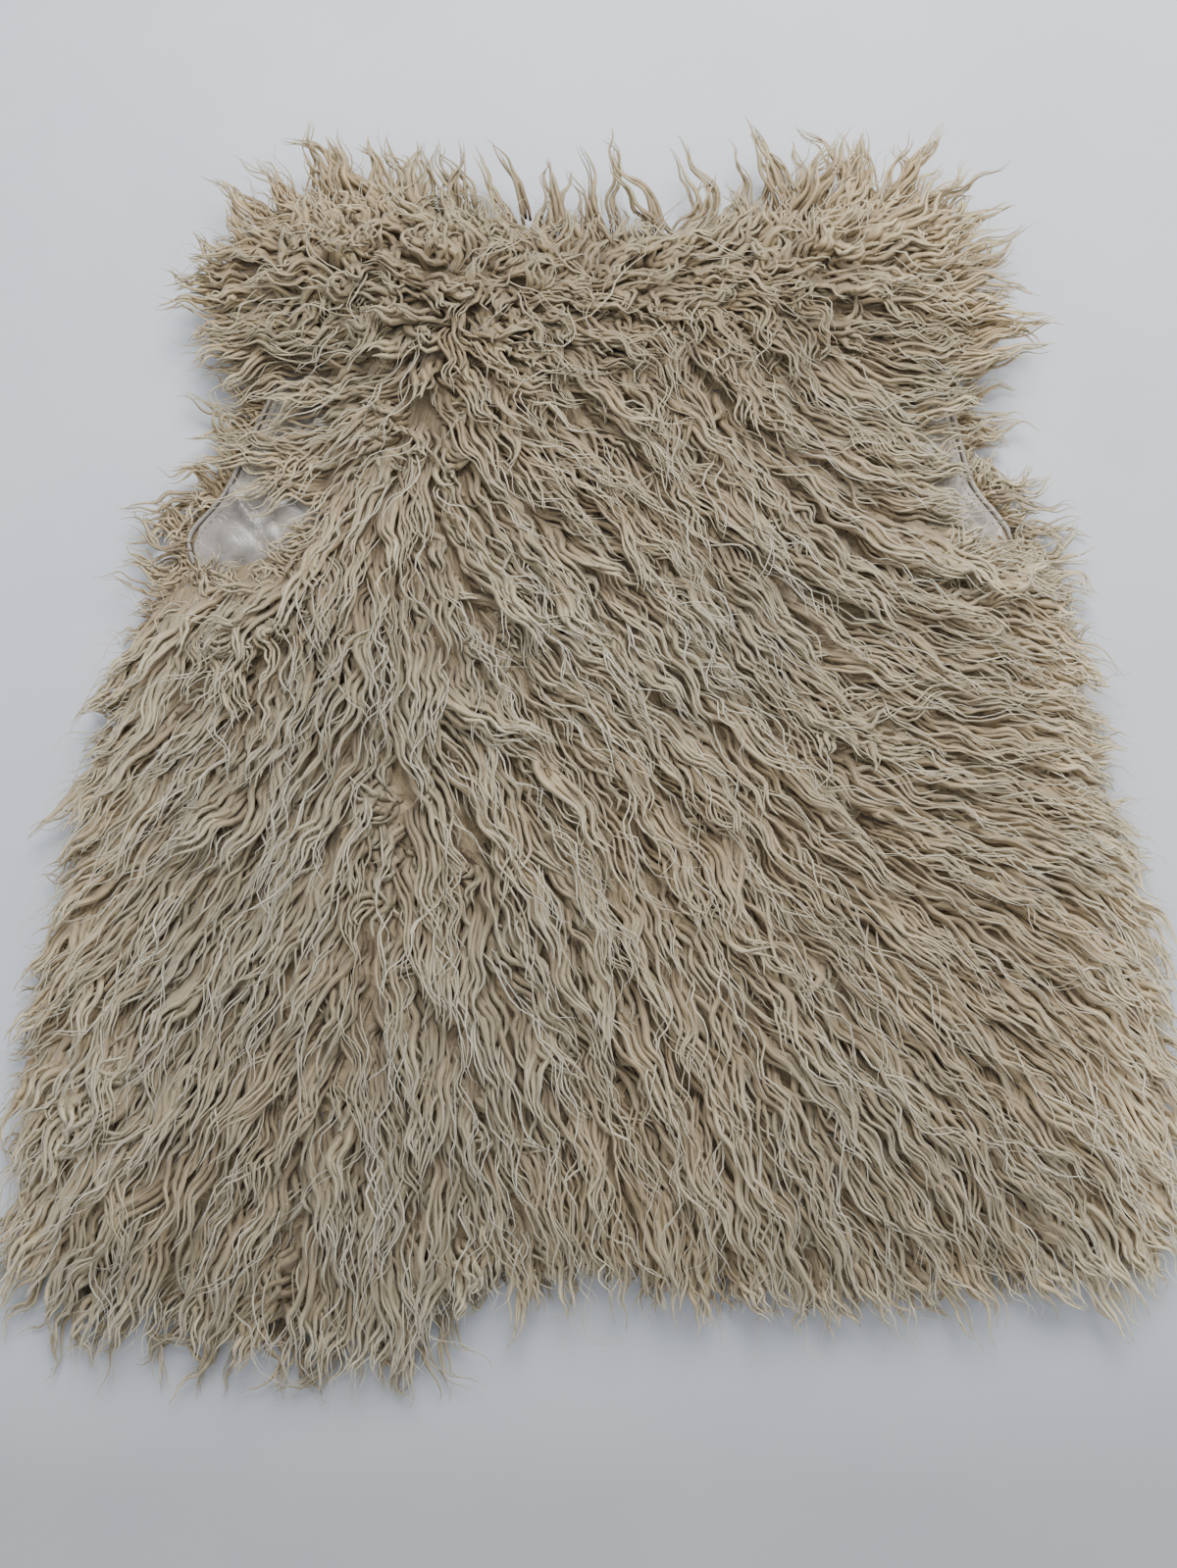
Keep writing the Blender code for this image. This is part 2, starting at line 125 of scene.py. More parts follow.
def edge_distance(border):
    """Chart of the distance to a closed border: positive inside it, negative outside."""
    gx, gy = np.meshgrid(CHART_X, CHART_Y)
    spot = np.stack([gx.ravel(), gy.ravel()], axis=1)[:, None, :]
    start = border[None]
    run = np.roll(border, -1, axis=0)[None] - start
    share = ((spot - start) * run).sum(-1) / (run**2).sum(-1)
    near = start + np.clip(share, 0, 1)[..., None] * run
    distance = np.sqrt(((spot - near) ** 2).sum(-1)).min(axis=1)
    above = (start[..., 1] > spot[..., 1]) != ((start + run)[..., 1] > spot[..., 1])
    rise = np.where(run[..., 1] == 0, 1, run[..., 1])
    crossing = start[..., 0] + (spot[..., 1] - start[..., 1]) / rise * run[..., 0]
    inside = (above & (spot[..., 0] < crossing)).sum(axis=1) % 2 == 1
    return np.where(inside, distance, -distance).reshape(gx.shape)


BACK_BORDER = underside_border("back")
BACK_EDGE = edge_distance(BACK_BORDER)
BACK_LOW = node_points("back")[:, 2].min()
print("back's border:", len(BACK_BORDER), "points; underside at", round(BACK_LOW, 2), "mm")

# %% [markdown]
# The pile stands highest over the shoulders and sinks toward the rim.  Its height is read
# from the solid too: each chart point takes a mean of the solid's upper corners near it,
# weighted by a bell curve, which also smooths away the coarse tufts.

# %% Chart: height of the pile
def smooth_height(name, spread=15.0):
    """Chart of a solid's upper surface: a bell-weighted mean of its corners."""
    points = node_points(name)
    points = np.unique(np.round(points[points[:, 2] > points[:, 2].min() + 1], 2), axis=0)
    gx, gy = np.meshgrid(CHART_X, CHART_Y)
    total = np.zeros(gx.size)
    weight = np.full(gx.size, 1e-12)
    for part in np.array_split(points, 12):
        away = (gx.ravel()[:, None] - part[:, 0]) ** 2 + (gy.ravel()[:, None] - part[:, 1]) ** 2
        bell = np.exp(-away / (2 * spread**2))
        total += bell @ part[:, 2]
        weight += bell.sum(axis=1)
    return (total / weight).reshape(gx.shape)


PILE_TOP = smooth_height("back")
UNDER_SHARE = 0.5


def under_pile(x, y):
    """Height of the dense wool under the locks: a share of the pile's own height."""
    inside = read_chart(BACK_EDGE, x, y)
    top = read_chart(PILE_TOP, x, y)
    rim = 1 - np.exp(-np.maximum(inside, 0) / 14)
    return BACK_LOW + 2.0 + (top - BACK_LOW) * UNDER_SHARE * rim


def pile_room(x, y):
    """How far the pile's top stands above the dense wool."""
    return read_chart(PILE_TOP, x, y) - under_pile(x, y)


print("pile's top:", round(PILE_TOP.min(), 1), "to", round(PILE_TOP.max(), 1), "mm")

# %% [markdown]
# The fur lies in a pattern that the hand left in it: away from a parting at the shoulders,
# down the middle, and off to each side.  A comb direction could be painted on the mesh.
# Here it is a small chart of headings, read off the photograph at nine distances
# across and eleven heights, in degrees anticlockwise from the right.

# %% Chart: which way the fur lies
HEADING_X = np.array([-270, -200, -130, -65, 0, 65, 130, 200, 270], float)
HEADINGS = {
    320: (150, 135, 112, 112, 95, 85, 66, 46, 30),
    280: (165, 152, 118, 118, 100, 62, 48, 32, 14),
    240: (195, 184, 232, 340, 345, 310, 340, 356, 0),
    200: (185, 184, 176, 285, 318, 272, 318, 380, 380),
    150: (190, 192, 218, 308, 318, 292, 340, 368, 360),
    90: (196, 236, 264, 304, 312, 300, 318, 350, 350),
    30: (208, 262, 268, 304, 310, 304, 324, 340, 330),
    -40: (220, 242, 252, 298, 310, 296, 338, 357, 338),
    -120: (230, 240, 252, 280, 292, 296, 315, 326, 318),
    -200: (236, 250, 264, 282, 290, 292, 302, 308, 300),
    -290: (246, 247, 260, 272, 278, 284, 295, 304, 298),
}
HEADING_Y = np.array(sorted(HEADINGS), float)
HEADING_CHART = np.radians([HEADINGS[int(y)] for y in HEADING_Y])


def comb(x, y):
    """Heading of the fur in radians: the four nearest chart headings, mixed as arrows."""
    i = np.clip(np.searchsorted(HEADING_X, x) - 1, 0, len(HEADING_X) - 2)
    j = np.clip(np.searchsorted(HEADING_Y, y) - 1, 0, len(HEADING_Y) - 2)
    u = np.clip((x - HEADING_X[i]) / (HEADING_X[i + 1] - HEADING_X[i]), 0, 1)
    v = np.clip((y - HEADING_Y[j]) / (HEADING_Y[j + 1] - HEADING_Y[j]), 0, 1)
    mixed = 0
    for dj, wv in ((0, 1 - v), (1, v)):
        for di, wu in ((0, 1 - u), (1, u)):
            mixed = mixed + wv * wu * np.exp(1j * HEADING_CHART[j + dj, i + di])
    return np.angle(mixed)


def between(outward, x, y, share):
    """Heading between straight out and the comb's, which counts by its share."""
    return np.angle(np.exp(1j * outward) + share * np.exp(1j * comb(x, y)))


def ripple(x, y, size, seed):
    """A smooth wandering value from about -1 to 1: six plane waves of one size, added."""
    chance = np.random.default_rng(seed)
    total = 0
    for angle, phase in zip(chance.uniform(0, 6.28, 6), chance.uniform(0, 6.28, 6)):
        total = total + np.sin((x * math.cos(angle) + y * math.sin(angle)) / size * 6.28 + phase)
    return total / 3.0


print("headings:", HEADING_CHART.shape)

# %% [markdown]
# A mesh is made straight from arrays.  foreach_set copies a whole array of points, face
# corners or marks into Blender at once, thousands of times faster than adding faces one
# by one.  The same helper hangs the piece on the model's one body.

# %% Helpers: arrays into a mesh
def make_piece(name, points, faces, material, marks=None, face_uv=None):
    """One smooth mesh from points in millimetres and a list of arrays of faces."""
    mesh = bpy.data.meshes.new(name)
    corners = np.concatenate([f.ravel() for f in faces])
    sizes = np.concatenate([np.full(len(f), f.shape[1]) for f in faces])
    mesh.vertices.add(len(points))
    mesh.vertices.foreach_set("co", (points * MM).ravel())
    mesh.loops.add(len(corners))
    mesh.loops.foreach_set("vertex_index", corners.astype(np.int32))
    mesh.polygons.add(len(sizes))
    mesh.polygons.foreach_set("loop_start", (np.cumsum(sizes) - sizes).astype(np.int32))
    mesh.polygons.foreach_set("loop_total", sizes.astype(np.int32))
    mesh.update(calc_edges=True)
    mesh.polygons.foreach_set("use_smooth", np.full(len(sizes), True))
    if face_uv is not None:
        layer = mesh.uv_layers.new(name="UVMap")
        layer.data.foreach_set("uv", np.concatenate([f.reshape(-1, 2) for f in face_uv]).ravel())
    if marks is not None:
        layer = mesh.color_attributes.new(name="fur", type="FLOAT_COLOR", domain="POINT")
        layer.data.foreach_set("color", marks.ravel())
    mesh.materials.append(material)
    thing = bpy.data.objects.new(name, mesh)
    bpy.context.collection.objects.link(thing)
    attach(thing, "root")
    print(name, int((sizes - 2).sum()), "triangles")
    return thing


def strip_quads(rings, sides):
    """Quads between rings of points, with the ring and the side each one starts from."""
    k, c = np.meshgrid(np.arange(rings - 1), np.arange(sides), indexing="ij")
    k, c = k.ravel(), c.ravel()
    a, b = k * sides + c, k * sides + (c + 1) % sides
    return np.column_stack([a, b, b + sides, a + sides]), k, c


# %% Helpers: materials
def new_material(name):
    """An empty Principled material, its shader and three helpers that fill it."""
    material = bpy.data.materials.new(name)
    material.use_nodes = True
    tree = material.node_tree

    def feed(node, inputs):
        """Fill inputs by name or number: another node's output is linked, a value set."""
        for key, value in inputs.items():
            if isinstance(value, bpy.types.NodeSocket):
                tree.links.new(value, node.inputs[key])
            else:
                node.inputs[key].default_value = value

    def add(kind, inputs, **settings):
        """Outputs of a new node of a kind, set up and fed."""
        node = tree.nodes.new("ShaderNode" + kind)
        for key, value in settings.items():
            setattr(node, key, value)
        feed(node, inputs)
        return node.outputs

    def ramp(source, stops):
        """Colour of a value, read off a ramp of (place, colour) stops."""
        node = tree.nodes.new("ShaderNodeValToRGB")
        elements = node.color_ramp.elements
        while len(elements) < len(stops):
            elements.new(0.5)
        for element, (place, colour) in zip(elements, stops):
            element.position = place
            element.color = (*colour, 1)
        feed(node, {"Fac": source})
        return node.outputs["Color"]

    return material, tree.nodes["Principled BSDF"], feed, add, ramp


# %% [markdown]
# Fur is acrylic fibre gathered in locks.  Its colour runs from a brown root to a pale tip,
# differs a little from lock to lock, and shows the single fibres as fine streaks.  An
# image could hold all that, but here each lock carries two marks made with it: its own
# tone, which also carries painted light and shade, and the share of its length.  The
# streaks are noise on the lock's own UV map, stretched along it.

# %% Material: fur locks
ROOT_BROWN = (0.200, 0.143, 0.083)
SHADE_BEIGE = (0.305, 0.230, 0.138)
BASE_BEIGE = (0.425, 0.336, 0.206)
TIP_CREAM = (0.570, 0.495, 0.352)
PALE_CREAM = (0.68, 0.62, 0.49)
COOL_PATCH, WARM_PATCH = (0.98, 1.0, 1.0), (1.03, 0.99, 0.92)
WARM_TOP = (1.0, 0.955, 0.870)


def fur_material(name, stops, roughness):
    """Locks coloured along their length, varied by tone and streaked along the fibre."""
    material, shader, feed, add, ramp = new_material(name)
    marks = add("SeparateColor", {"Color": add("VertexColor", {}, layer_name="fur")["Color"]})
    along = ramp(marks["Green"], stops)
    own_map = add("UVMap", {}, uv_map="UVMap")["UV"]
    stretch = add("Mapping", {"Vector": own_map, "Scale": (3.0, 0.35, 1.0)})["Vector"]
    streak = add("TexNoise", {
        "Vector": stretch, "Scale": 3.2, "Detail": 3.0, "Roughness": 0.65,
    })["Fac"]

    # The tone mark carries each lock's own tone and, for most locks, painted light and shade.
    tone = add("MapRange", {
        "Value": marks["Red"], "To Min": 0.66, "To Max": 1.12,
    }, clamp=False)["Result"]
    grain = add("MapRange", {
        "Value": streak, "From Min": 0.3, "From Max": 0.7, "To Min": 0.72, "To Max": 1.20,
    })["Result"]
    both = add("Math", {0: tone, 1: grain}, operation="MULTIPLY")["Value"]
    coloured = add("VectorMath", {0: along, "Scale": both}, operation="SCALE")["Vector"]

    place = add("TexCoord", {})["Object"]
    patches = add("TexNoise", {"Vector": place, "Scale": 7.0, "Detail": 2.0})["Fac"]
    tint = ramp(patches, [(0.36, COOL_PATCH), (0.64, WARM_PATCH)])
    tinted = add("VectorMath", {0: coloured, 1: tint}, operation="MULTIPLY")["Vector"]
    upward = add("SeparateXYZ", {"Vector": place})["Y"]
    warmth = ramp(upward, [(0.12, (1.0, 1.0, 1.0)), (0.22, WARM_TOP)])
    warmed = add("VectorMath", {0: tinted, 1: warmth}, operation="MULTIPLY")["Vector"]
    bump = add("Bump", {"Height": streak, "Strength": 0.55, "Distance": 0.0008})["Normal"]
    feed(shader, {
        "Base Color": warmed, "Normal": bump, "Roughness": roughness,
        "Specular IOR Level": 0.32, "Sheen Weight": 0.18, "Sheen Roughness": 0.4,
    })
    return material


FUR = fur_material(
    "curly_fur",
    [(0.0, ROOT_BROWN), (0.22, SHADE_BEIGE), (0.5, BASE_BEIGE), (0.97, TIP_CREAM)],
    0.58,
)
PALE_HAIR = fur_material(
    "pale_guard_hair", [(0.0, BASE_BEIGE), (0.25, TIP_CREAM), (0.9, PALE_CREAM)], 0.5
)
print("fur materials:", FUR.name, "and", PALE_HAIR.name)

# %% [markdown]
# Between the locks one sees the short, dense wool at their roots, and then the knitted
# backing.  It is nearly in shadow, so it needs only a broken, brownish surface with a
# grain that runs the way the fur is combed.  That direction is in the panel's UV map.
# Its colour darkens where its bump is low: painted shade in its hollows.

# %% Material: dense wool at the roots
def wool_material():
    """Brown-beige wool: noise stretched along the comb direction, with painted shade in its
    hollows.
    """
    material, shader, feed, add, ramp = new_material("dense_wool")
    combed_map = add("UVMap", {}, uv_map="UVMap")["UV"]
    stretch = add("Mapping", {"Vector": combed_map, "Scale": (0.10, 0.42, 1.0)})["Vector"]
    strands = add("TexNoise", {
        "Vector": stretch, "Scale": 1.0, "Detail": 5.0, "Roughness": 0.6, "Distortion": 0.8,
    })["Fac"]
    # Painted shade: the colour is darkest where the bump is lowest.
    colour = ramp(strands, [(0.30, ROOT_BROWN), (0.48, SHADE_BEIGE), (0.68, BASE_BEIGE)])
    bump = add("Bump", {"Height": strands, "Strength": 0.9, "Distance": 0.004})["Normal"]
    feed(shader, {
        "Base Color": colour, "Normal": bump, "Roughness": 0.85, "Specular IOR Level": 0.2,
    })
    return material


WOOL = wool_material()
print("wool material:", WOOL.name)

# %% [markdown]
# The lining is a greyish pink satin.  Satin is smooth in one direction, so its highlights
# are broad and soft, and small creases break them up.  The creases that catch the light
# are in the mesh; the weave and the finest wrinkles are bump, and the satin's colour
# darkens with the wrinkles' bump: painted shade in their hollows.  The left armhole lies
# in more shade than the right one, so its satin's colour is darkened: painted shade.

# %% Material: satin and sewing thread
SATIN_PINK = (0.455, 0.412, 0.356)
SATIN_SHADE = (0.275, 0.240, 0.208)
# Painted shade: the left satin's colour is darkened to 0.76 of the right one's.
SATIN_PAINTED_SHADE = {"left": 0.76, "right": 1.0}
THREAD_DARK, THREAD_PALE = (0.26, 0.21, 0.16), (0.46, 0.40, 0.32)


def satin_material(name, light):
    """Satin: low roughness, fine diagonal weave, cloudy small wrinkles as bump with painted shade
    in their hollows, and painted shade by the factor light.
    """
    material, shader, feed, add, ramp = new_material(name)
    place = add("TexCoord", {})["Object"]
    clouds = add("TexNoise", {
        "Vector": place, "Scale": 62.0, "Detail": 4.0, "Roughness": 0.6, "Distortion": 0.6,
    })["Fac"]
    painted_shade, pink = (tuple(light * part for part in tone) for tone in (SATIN_SHADE, SATIN_PINK))
    turn = add("Mapping", {"Vector": place, "Rotation": (0, 0, 0.9)})["Vector"]
    weave = add("TexWave", {
        "Vector": turn, "Scale": 900.0, "Distortion": 0.6, "Detail": 1.0,
    })["Fac"]
    coarse = add("Bump", {"Height": clouds, "Strength": 0.5, "Distance": 0.003})["Normal"]
    fine = add("Bump", {
        "Height": weave, "Normal": coarse, "Strength": 0.12, "Distance": 0.0002,
    })["Normal"]
    # Painted shade: the colour darkens with the wrinkles' bump, toward their hollows.
    feed(shader, {
        "Base Color": ramp(clouds, [(0.3, painted_shade), (0.62, pink)]), "Normal": fine,
        "Roughness": 0.28, "Specular IOR Level": 0.62, "Sheen Weight": 0.12,
    })
    return material


def thread_material():
    """Beige sewing thread: a fine twist across each stitch."""
    material, shader, feed, add, ramp = new_material("sewing_thread")
    place = add("TexCoord", {})["Object"]
    twist = add("TexNoise", {"Vector": place, "Scale": 1500.0, "Detail": 1.0})["Fac"]
    colour = ramp(twist, [(0.3, THREAD_DARK), (0.7, THREAD_PALE)])
    bump = add("Bump", {"Height": twist, "Strength": 0.4, "Distance": 0.0002})["Normal"]
    feed(shader, {"Base Color": colour, "Normal": bump, "Roughness": 0.6})
    return material


SATIN = {side: satin_material(f"satin_{side}", light) for side, light in SATIN_PAINTED_SHADE.items()}
THREAD = thread_material()
print("lining materials:", [cloth.name for cloth in SATIN.values()], "and", THREAD.name)

# %% [markdown]
# Every panel is a cut piece of cloth.  Its outline is filled by one face, which planes then
# cut into small squares, so the mesh keeps the true edge and yet can bend.  The upper and
# lower faces get their heights from functions of the place, and a side wall joins them.

# %% Helpers: panels from an outline
FINE_CUT = 2.3
CLOTH_GAP = 0.1


def cut_squares(border, lines_x, lines_y):
    """Points and faces of a flat panel, cut along lines of constant x and y."""
    work = bmesh.new()
    work.faces.new([work.verts.new((x, y, 0)) for x, y in border])
    for normal, lines in (((1.0, 0, 0), lines_x), ((0, 1.0, 0), lines_y)):
        for line in lines:
            middle = [line * share for share in normal]
            everything = work.verts[:] + work.edges[:] + work.faces[:]
            bmesh.ops.bisect_plane(
                work, geom=everything, plane_co=middle, plane_no=normal, dist=0.01
            )
    bmesh.ops.triangulate(work, faces=[f for f in work.faces if len(f.verts) != 4])
    bmesh.ops.recalc_face_normals(work, faces=work.faces)
    if work.faces and next(iter(work.faces)).normal.z < 0:
        bmesh.ops.reverse_faces(work, faces=work.faces)
    work.verts.index_update()
    points = np.array([v.co[:2] for v in work.verts])
    quads = np.array([[v.index for v in f.verts] for f in work.faces if len(f.verts) == 4])
    triangles = np.array([[v.index for v in f.verts] for f in work.faces if len(f.verts) == 3])
    rim = np.array([[e.verts[0].index, e.verts[1].index] for e in work.edges if e.is_boundary])
    first = {(l.vert.index, l.link_loop_next.vert.index) for f in work.faces for l in f.loops}
    forward = np.array([(a, b) in first for a, b in rim.tolist()])
    rim[~forward] = rim[~forward][:, ::-1]
    work.free()
    return points, quads.reshape(-1, 4), triangles.reshape(-1, 3), rim


def cut_lines(low, high, spacing, fine):
    """Places to cut at: evenly spaced, and closer within the stretch called fine."""
    lines = np.arange(low + spacing / 2, high, spacing)
    if fine is None:
        return lines
    lines = lines[(lines < fine[0]) | (lines > fine[1])]
    return np.sort(np.concatenate([lines, np.arange(fine[0], fine[1], FINE_CUT)]))


def make_panel(name, border, spacing, low, high, material, fine=(None, None)):
    """A closed panel: upper face high(x, y), lower face low(x, y) and a wall between."""
    lo, hi = border.min(axis=0), border.max(axis=0)
    lines_x = cut_lines(lo[0], hi[0], spacing, fine[0])
    lines_y = cut_lines(lo[1], hi[1], spacing, fine[1])
    points, quads, triangles, rim = cut_squares(border, lines_x, lines_y)
    x, y = points.T
    count = len(points)
    upper = np.column_stack([x, y, high(x, y)])
    lower = np.column_stack([x, y, low(x, y)])
    wall = np.column_stack([rim[:, 1], rim[:, 0], rim[:, 0] + count, rim[:, 1] + count])
    faces = [quads, triangles, quads[:, ::-1] + count, triangles[:, ::-1] + count, wall]
    faces = [f for f in faces if len(f)]
    angle = comb(x, y)
    grain = np.column_stack([
        x * np.cos(angle) + y * np.sin(angle), y * np.cos(angle) - x * np.sin(angle),
    ])
    grain = np.vstack([grain, grain])
    return make_piece(
        name, np.vstack([upper, lower]), faces, material, face_uv=[grain[f] for f in faces]
    )


# %% [markdown]
# The back panel carries the pile that shows.  On the real vest it is a knitted backing
# with dense wool on it; here one panel stands for both, lumpy where the wool bunches.

# %% The back and the two fronts
def lumps(x, y):
    """Bunched wool: soft lumps about 12 mm across."""
    return 1.5 * ripple(x, y, 24, 3) + 1.1 * ripple(x, y, 13, 4)


def back_top(x, y):
    """Upper face of the back: the dense wool with its lumps, thin at the rim."""
    inside = np.clip(read_chart(BACK_EDGE, x, y) / 20, 0, 1)
    return under_pile(x, y) + lumps(x, y) * inside


back_cloth = make_panel(
    "back_cloth", BACK_BORDER, 9.0, lambda x, y: np.full(len(x), BACK_LOW + CLOTH_GAP),
    back_top, WOOL,
)
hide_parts("back")

FRONT_BORDERS = {side: underside_border(f"front_{side}") for side in ("left", "right")}
FRONT_HIGH = node_points("front_left")[:, 2].max()
for side, border in FRONT_BORDERS.items():
    front_chart = edge_distance(border)

    def pressed(x, y, chart=front_chart):
        """Lower face: pile pressed flat on the table, rounded up at the rim."""
        inside = np.clip(read_chart(chart, x, y), 0, 12) / 12
        dents = np.maximum(0.5 * (1 + ripple(x, y, 16, 8)), 0)
        return CLOTH_GAP + 2.6 * (1 - inside) ** 2 + dents * inside

    make_panel(
        f"front_cloth_{side}", border, 13.0, pressed,
        lambda x, y: np.full(len(x), FRONT_HIGH - CLOTH_GAP), WOOL,
    )
    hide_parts(f"front_{side}")

# %% [markdown]
# Satin shows in both armholes, where the back's edge lies further in than the front's.
# It is a thin sheet.  Its creases are ridges along short lines, each a bell curve across
# its line that fades at both ends, and they stay where no panel covers the satin.

# %% The linings with their creases
CREASES = {
    "left": [
        # start x, start y, end x, end y, half-width, height
        (-210, 127, -190, 96, 2.3, 5.6),
        (-208, 124, -172, 111, 2.4, 3.4),
        (-214, 102, -194, 80, 7.5, 5.6),
        (-219, 84, -194, 70, 2.6, 1.8),
        (-188, 104, -178, 86, 2.8, 2.0),
        (-196, 150, -170, 126, 3.5, 1.6),
        (-188, 178, -180, 196, 4.0, 2.0),
    ],
    "right": [
        (203, 162, 206, 124, 2.6, 4.4),
        (186, 116, 210, 94, 6.5, 5.2),
        (210, 121, 224, 98, 2.2, 4.2),
        (206, 136, 196, 108, 2.6, 2.2),
        (222, 98, 206, 90, 2.6, 2.6),
    ],
}


def crease_height(side, x, y):
    """Sum of the ridges: a bell across each line, a half sine along it."""
    total = np.zeros(len(x))
    for x0, y0, x1, y1, wide, high in CREASES[side]:
        run = np.array([x1 - x0, y1 - y0], float)
        length = np.hypot(*run)
        share = np.clip(((x - x0) * run[0] + (y - y0) * run[1]) / length**2, 0, 1)
        away = np.hypot(x - x0 - share * run[0], y - y0 - share * run[1])
        total += high * np.exp(-((away / wide) ** 2)) * np.sin(np.pi * np.clip(share, 0.08, 0.92))
    return total


def satin_lift(side, x, y):
    """Rise of the satin: creases and slack, held down wherever the back lies on it."""
    clear = np.clip(-read_chart(BACK_EDGE, x, y) / 6, 0, 1)
    return (crease_height(side, x, y) + 0.5 * (1 + ripple(x, y, 30, 5))) * clear


FINE_ACROSS = {"left": (-228, -150), "right": (176, 232)}
FINE_ALONG = (66, 204)
for side in ("left", "right"):
    border = underside_border(f"lining_{side}")
    heights = node_points(f"lining_{side}")[:, 2]
    satin_low, satin_high = heights.min(), heights.max()
    make_panel(
        f"satin_{side}", border, 18.0,
        lambda x, y: satin_low + 0.9 * satin_lift(side, x, y),
        lambda x, y: satin_high + satin_lift(side, x, y),
        SATIN[side], (FINE_ACROSS[side], FINE_ALONG),
    )
    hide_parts(f"lining_{side}")

# %% [markdown]
# The armhole's edge is rolled: the satin turns over the fur cloth and a row of stitches
# holds it.  The roll is a small profile carried along the edge's path, puckered a little
# between stitches.  The stitches are short rounded bars, all copies of one bar.

# %% Rolled armhole edges and their stitches
ARMHOLE_PATHS = {
    "left": [(-219, 74), (-223, 92), (-212, 108), (-203, 122), (-191, 154), (-177, 190)],
    "right": [(236, 88), (234, 98), (221, 116), (215, 130), (211, 152), (205, 186)],
}
PATTERN_SHIFT = np.array([-4.1, 2.5])
ROLL_STEP = 1.5
ROLL_OUT = 2.4
ROLL_HALF = 1.3
ROLL_RISE = 2.1
STITCH_IN = 2.9
STITCH_PITCH = 4.0
STITCH_STEP = 0.5
STITCH_HIGH = 11.45


def way_along(points):
    """Distance gone along a path at each of its points."""
    steps = np.linalg.norm(np.diff(points, axis=0), axis=1)
    return np.concatenate([[0], np.cumsum(steps)])


def points_at(wanted, along, path):
    """Points of a path at the wanted distances along it."""
    return np.column_stack([np.interp(wanted, along, path[:, k]) for k in (0, 1)])


def curve_through(rows, spacing):
    """Points spaced evenly along a smooth Catmull-Rom curve through the rows."""
    points = np.array(rows, float)
    before = np.vstack([2 * points[0] - points[1], points[:-2]])
    start, end = points[:-1], points[1:]
    after = np.vstack([points[2:], 2 * points[-1] - points[-2]])
    t = np.linspace(0, 1, 24, endpoint=False)[:, None, None]
    dense = 0.5 * (
        2 * start
        + (end - before) * t
        + (2 * before - 5 * start + 4 * end - after) * t**2
        + (3 * start - before - 3 * end + after) * t**3
    )
    dense = np.vstack([dense.transpose(1, 0, 2).reshape(-1, 2), points[-1]])
    along = way_along(dense)
    wanted = np.linspace(0, along[-1], int(along[-1] / spacing) + 1)
    return points_at(wanted, along, dense)


def sideways_of(path):
    """Unit arrows to the right of a path, at each of its points."""
    ahead = np.gradient(path, axis=0)
    ahead /= np.linalg.norm(ahead, axis=1)[:, None]
    return np.column_stack([ahead[:, 1], -ahead[:, 0]])


def sweep(name, path, right, shape, material):
    """Carry a closed profile along a path: each corner moves sideways and up by its shape."""
    edges = [np.column_stack([path + right * away[:, None], high]) for away, high in shape]
    points = np.stack(edges, axis=1).reshape(-1, 3)
    steps, sides = len(path), len(shape)
    quads = strip_quads(steps, sides)[0]
    ends = [np.arange(sides)[::-1][None], (np.arange(sides) + (steps - 1) * sides)[None]]
    return make_piece(name, points, [quads, *ends], material)


def bars(centres, arrows, length, radius, height, sides=6):
    """Points and faces of many short bars along their arrows: six rings, small at the ends."""
    stations = np.array([-0.5, -0.42, -0.2, 0.2, 0.42, 0.5]) * length
    swell = np.array([0.25, 0.8, 1.0, 1.0, 0.8, 0.25]) * radius
    angle = np.arange(sides) / sides * 2 * np.pi
    right = np.column_stack([arrows[:, 1], -arrows[:, 0]])
    flat = centres[:, None, None, :] + arrows[:, None, None, :] * stations[None, :, None, None]
    flat = flat + right[:, None, None, :] * (swell[:, None] * np.cos(angle))[None, :, :, None]
    z = height[:, None, None] + (swell[:, None] * np.sin(angle))[None]
    points = np.concatenate([flat, z[..., None]], axis=-1).reshape(-1, 3)
    rings = len(stations)
    quads = strip_quads(rings, sides)[0][:, [0, 3, 2, 1]]
    caps = np.array([np.arange(sides), (np.arange(sides) + (rings - 1) * sides)[::-1]])
    shift = (np.arange(len(centres)) * rings * sides)[:, None, None]
    return points, [(quads + shift).reshape(-1, 4), (caps + shift).reshape(-1, sides)]


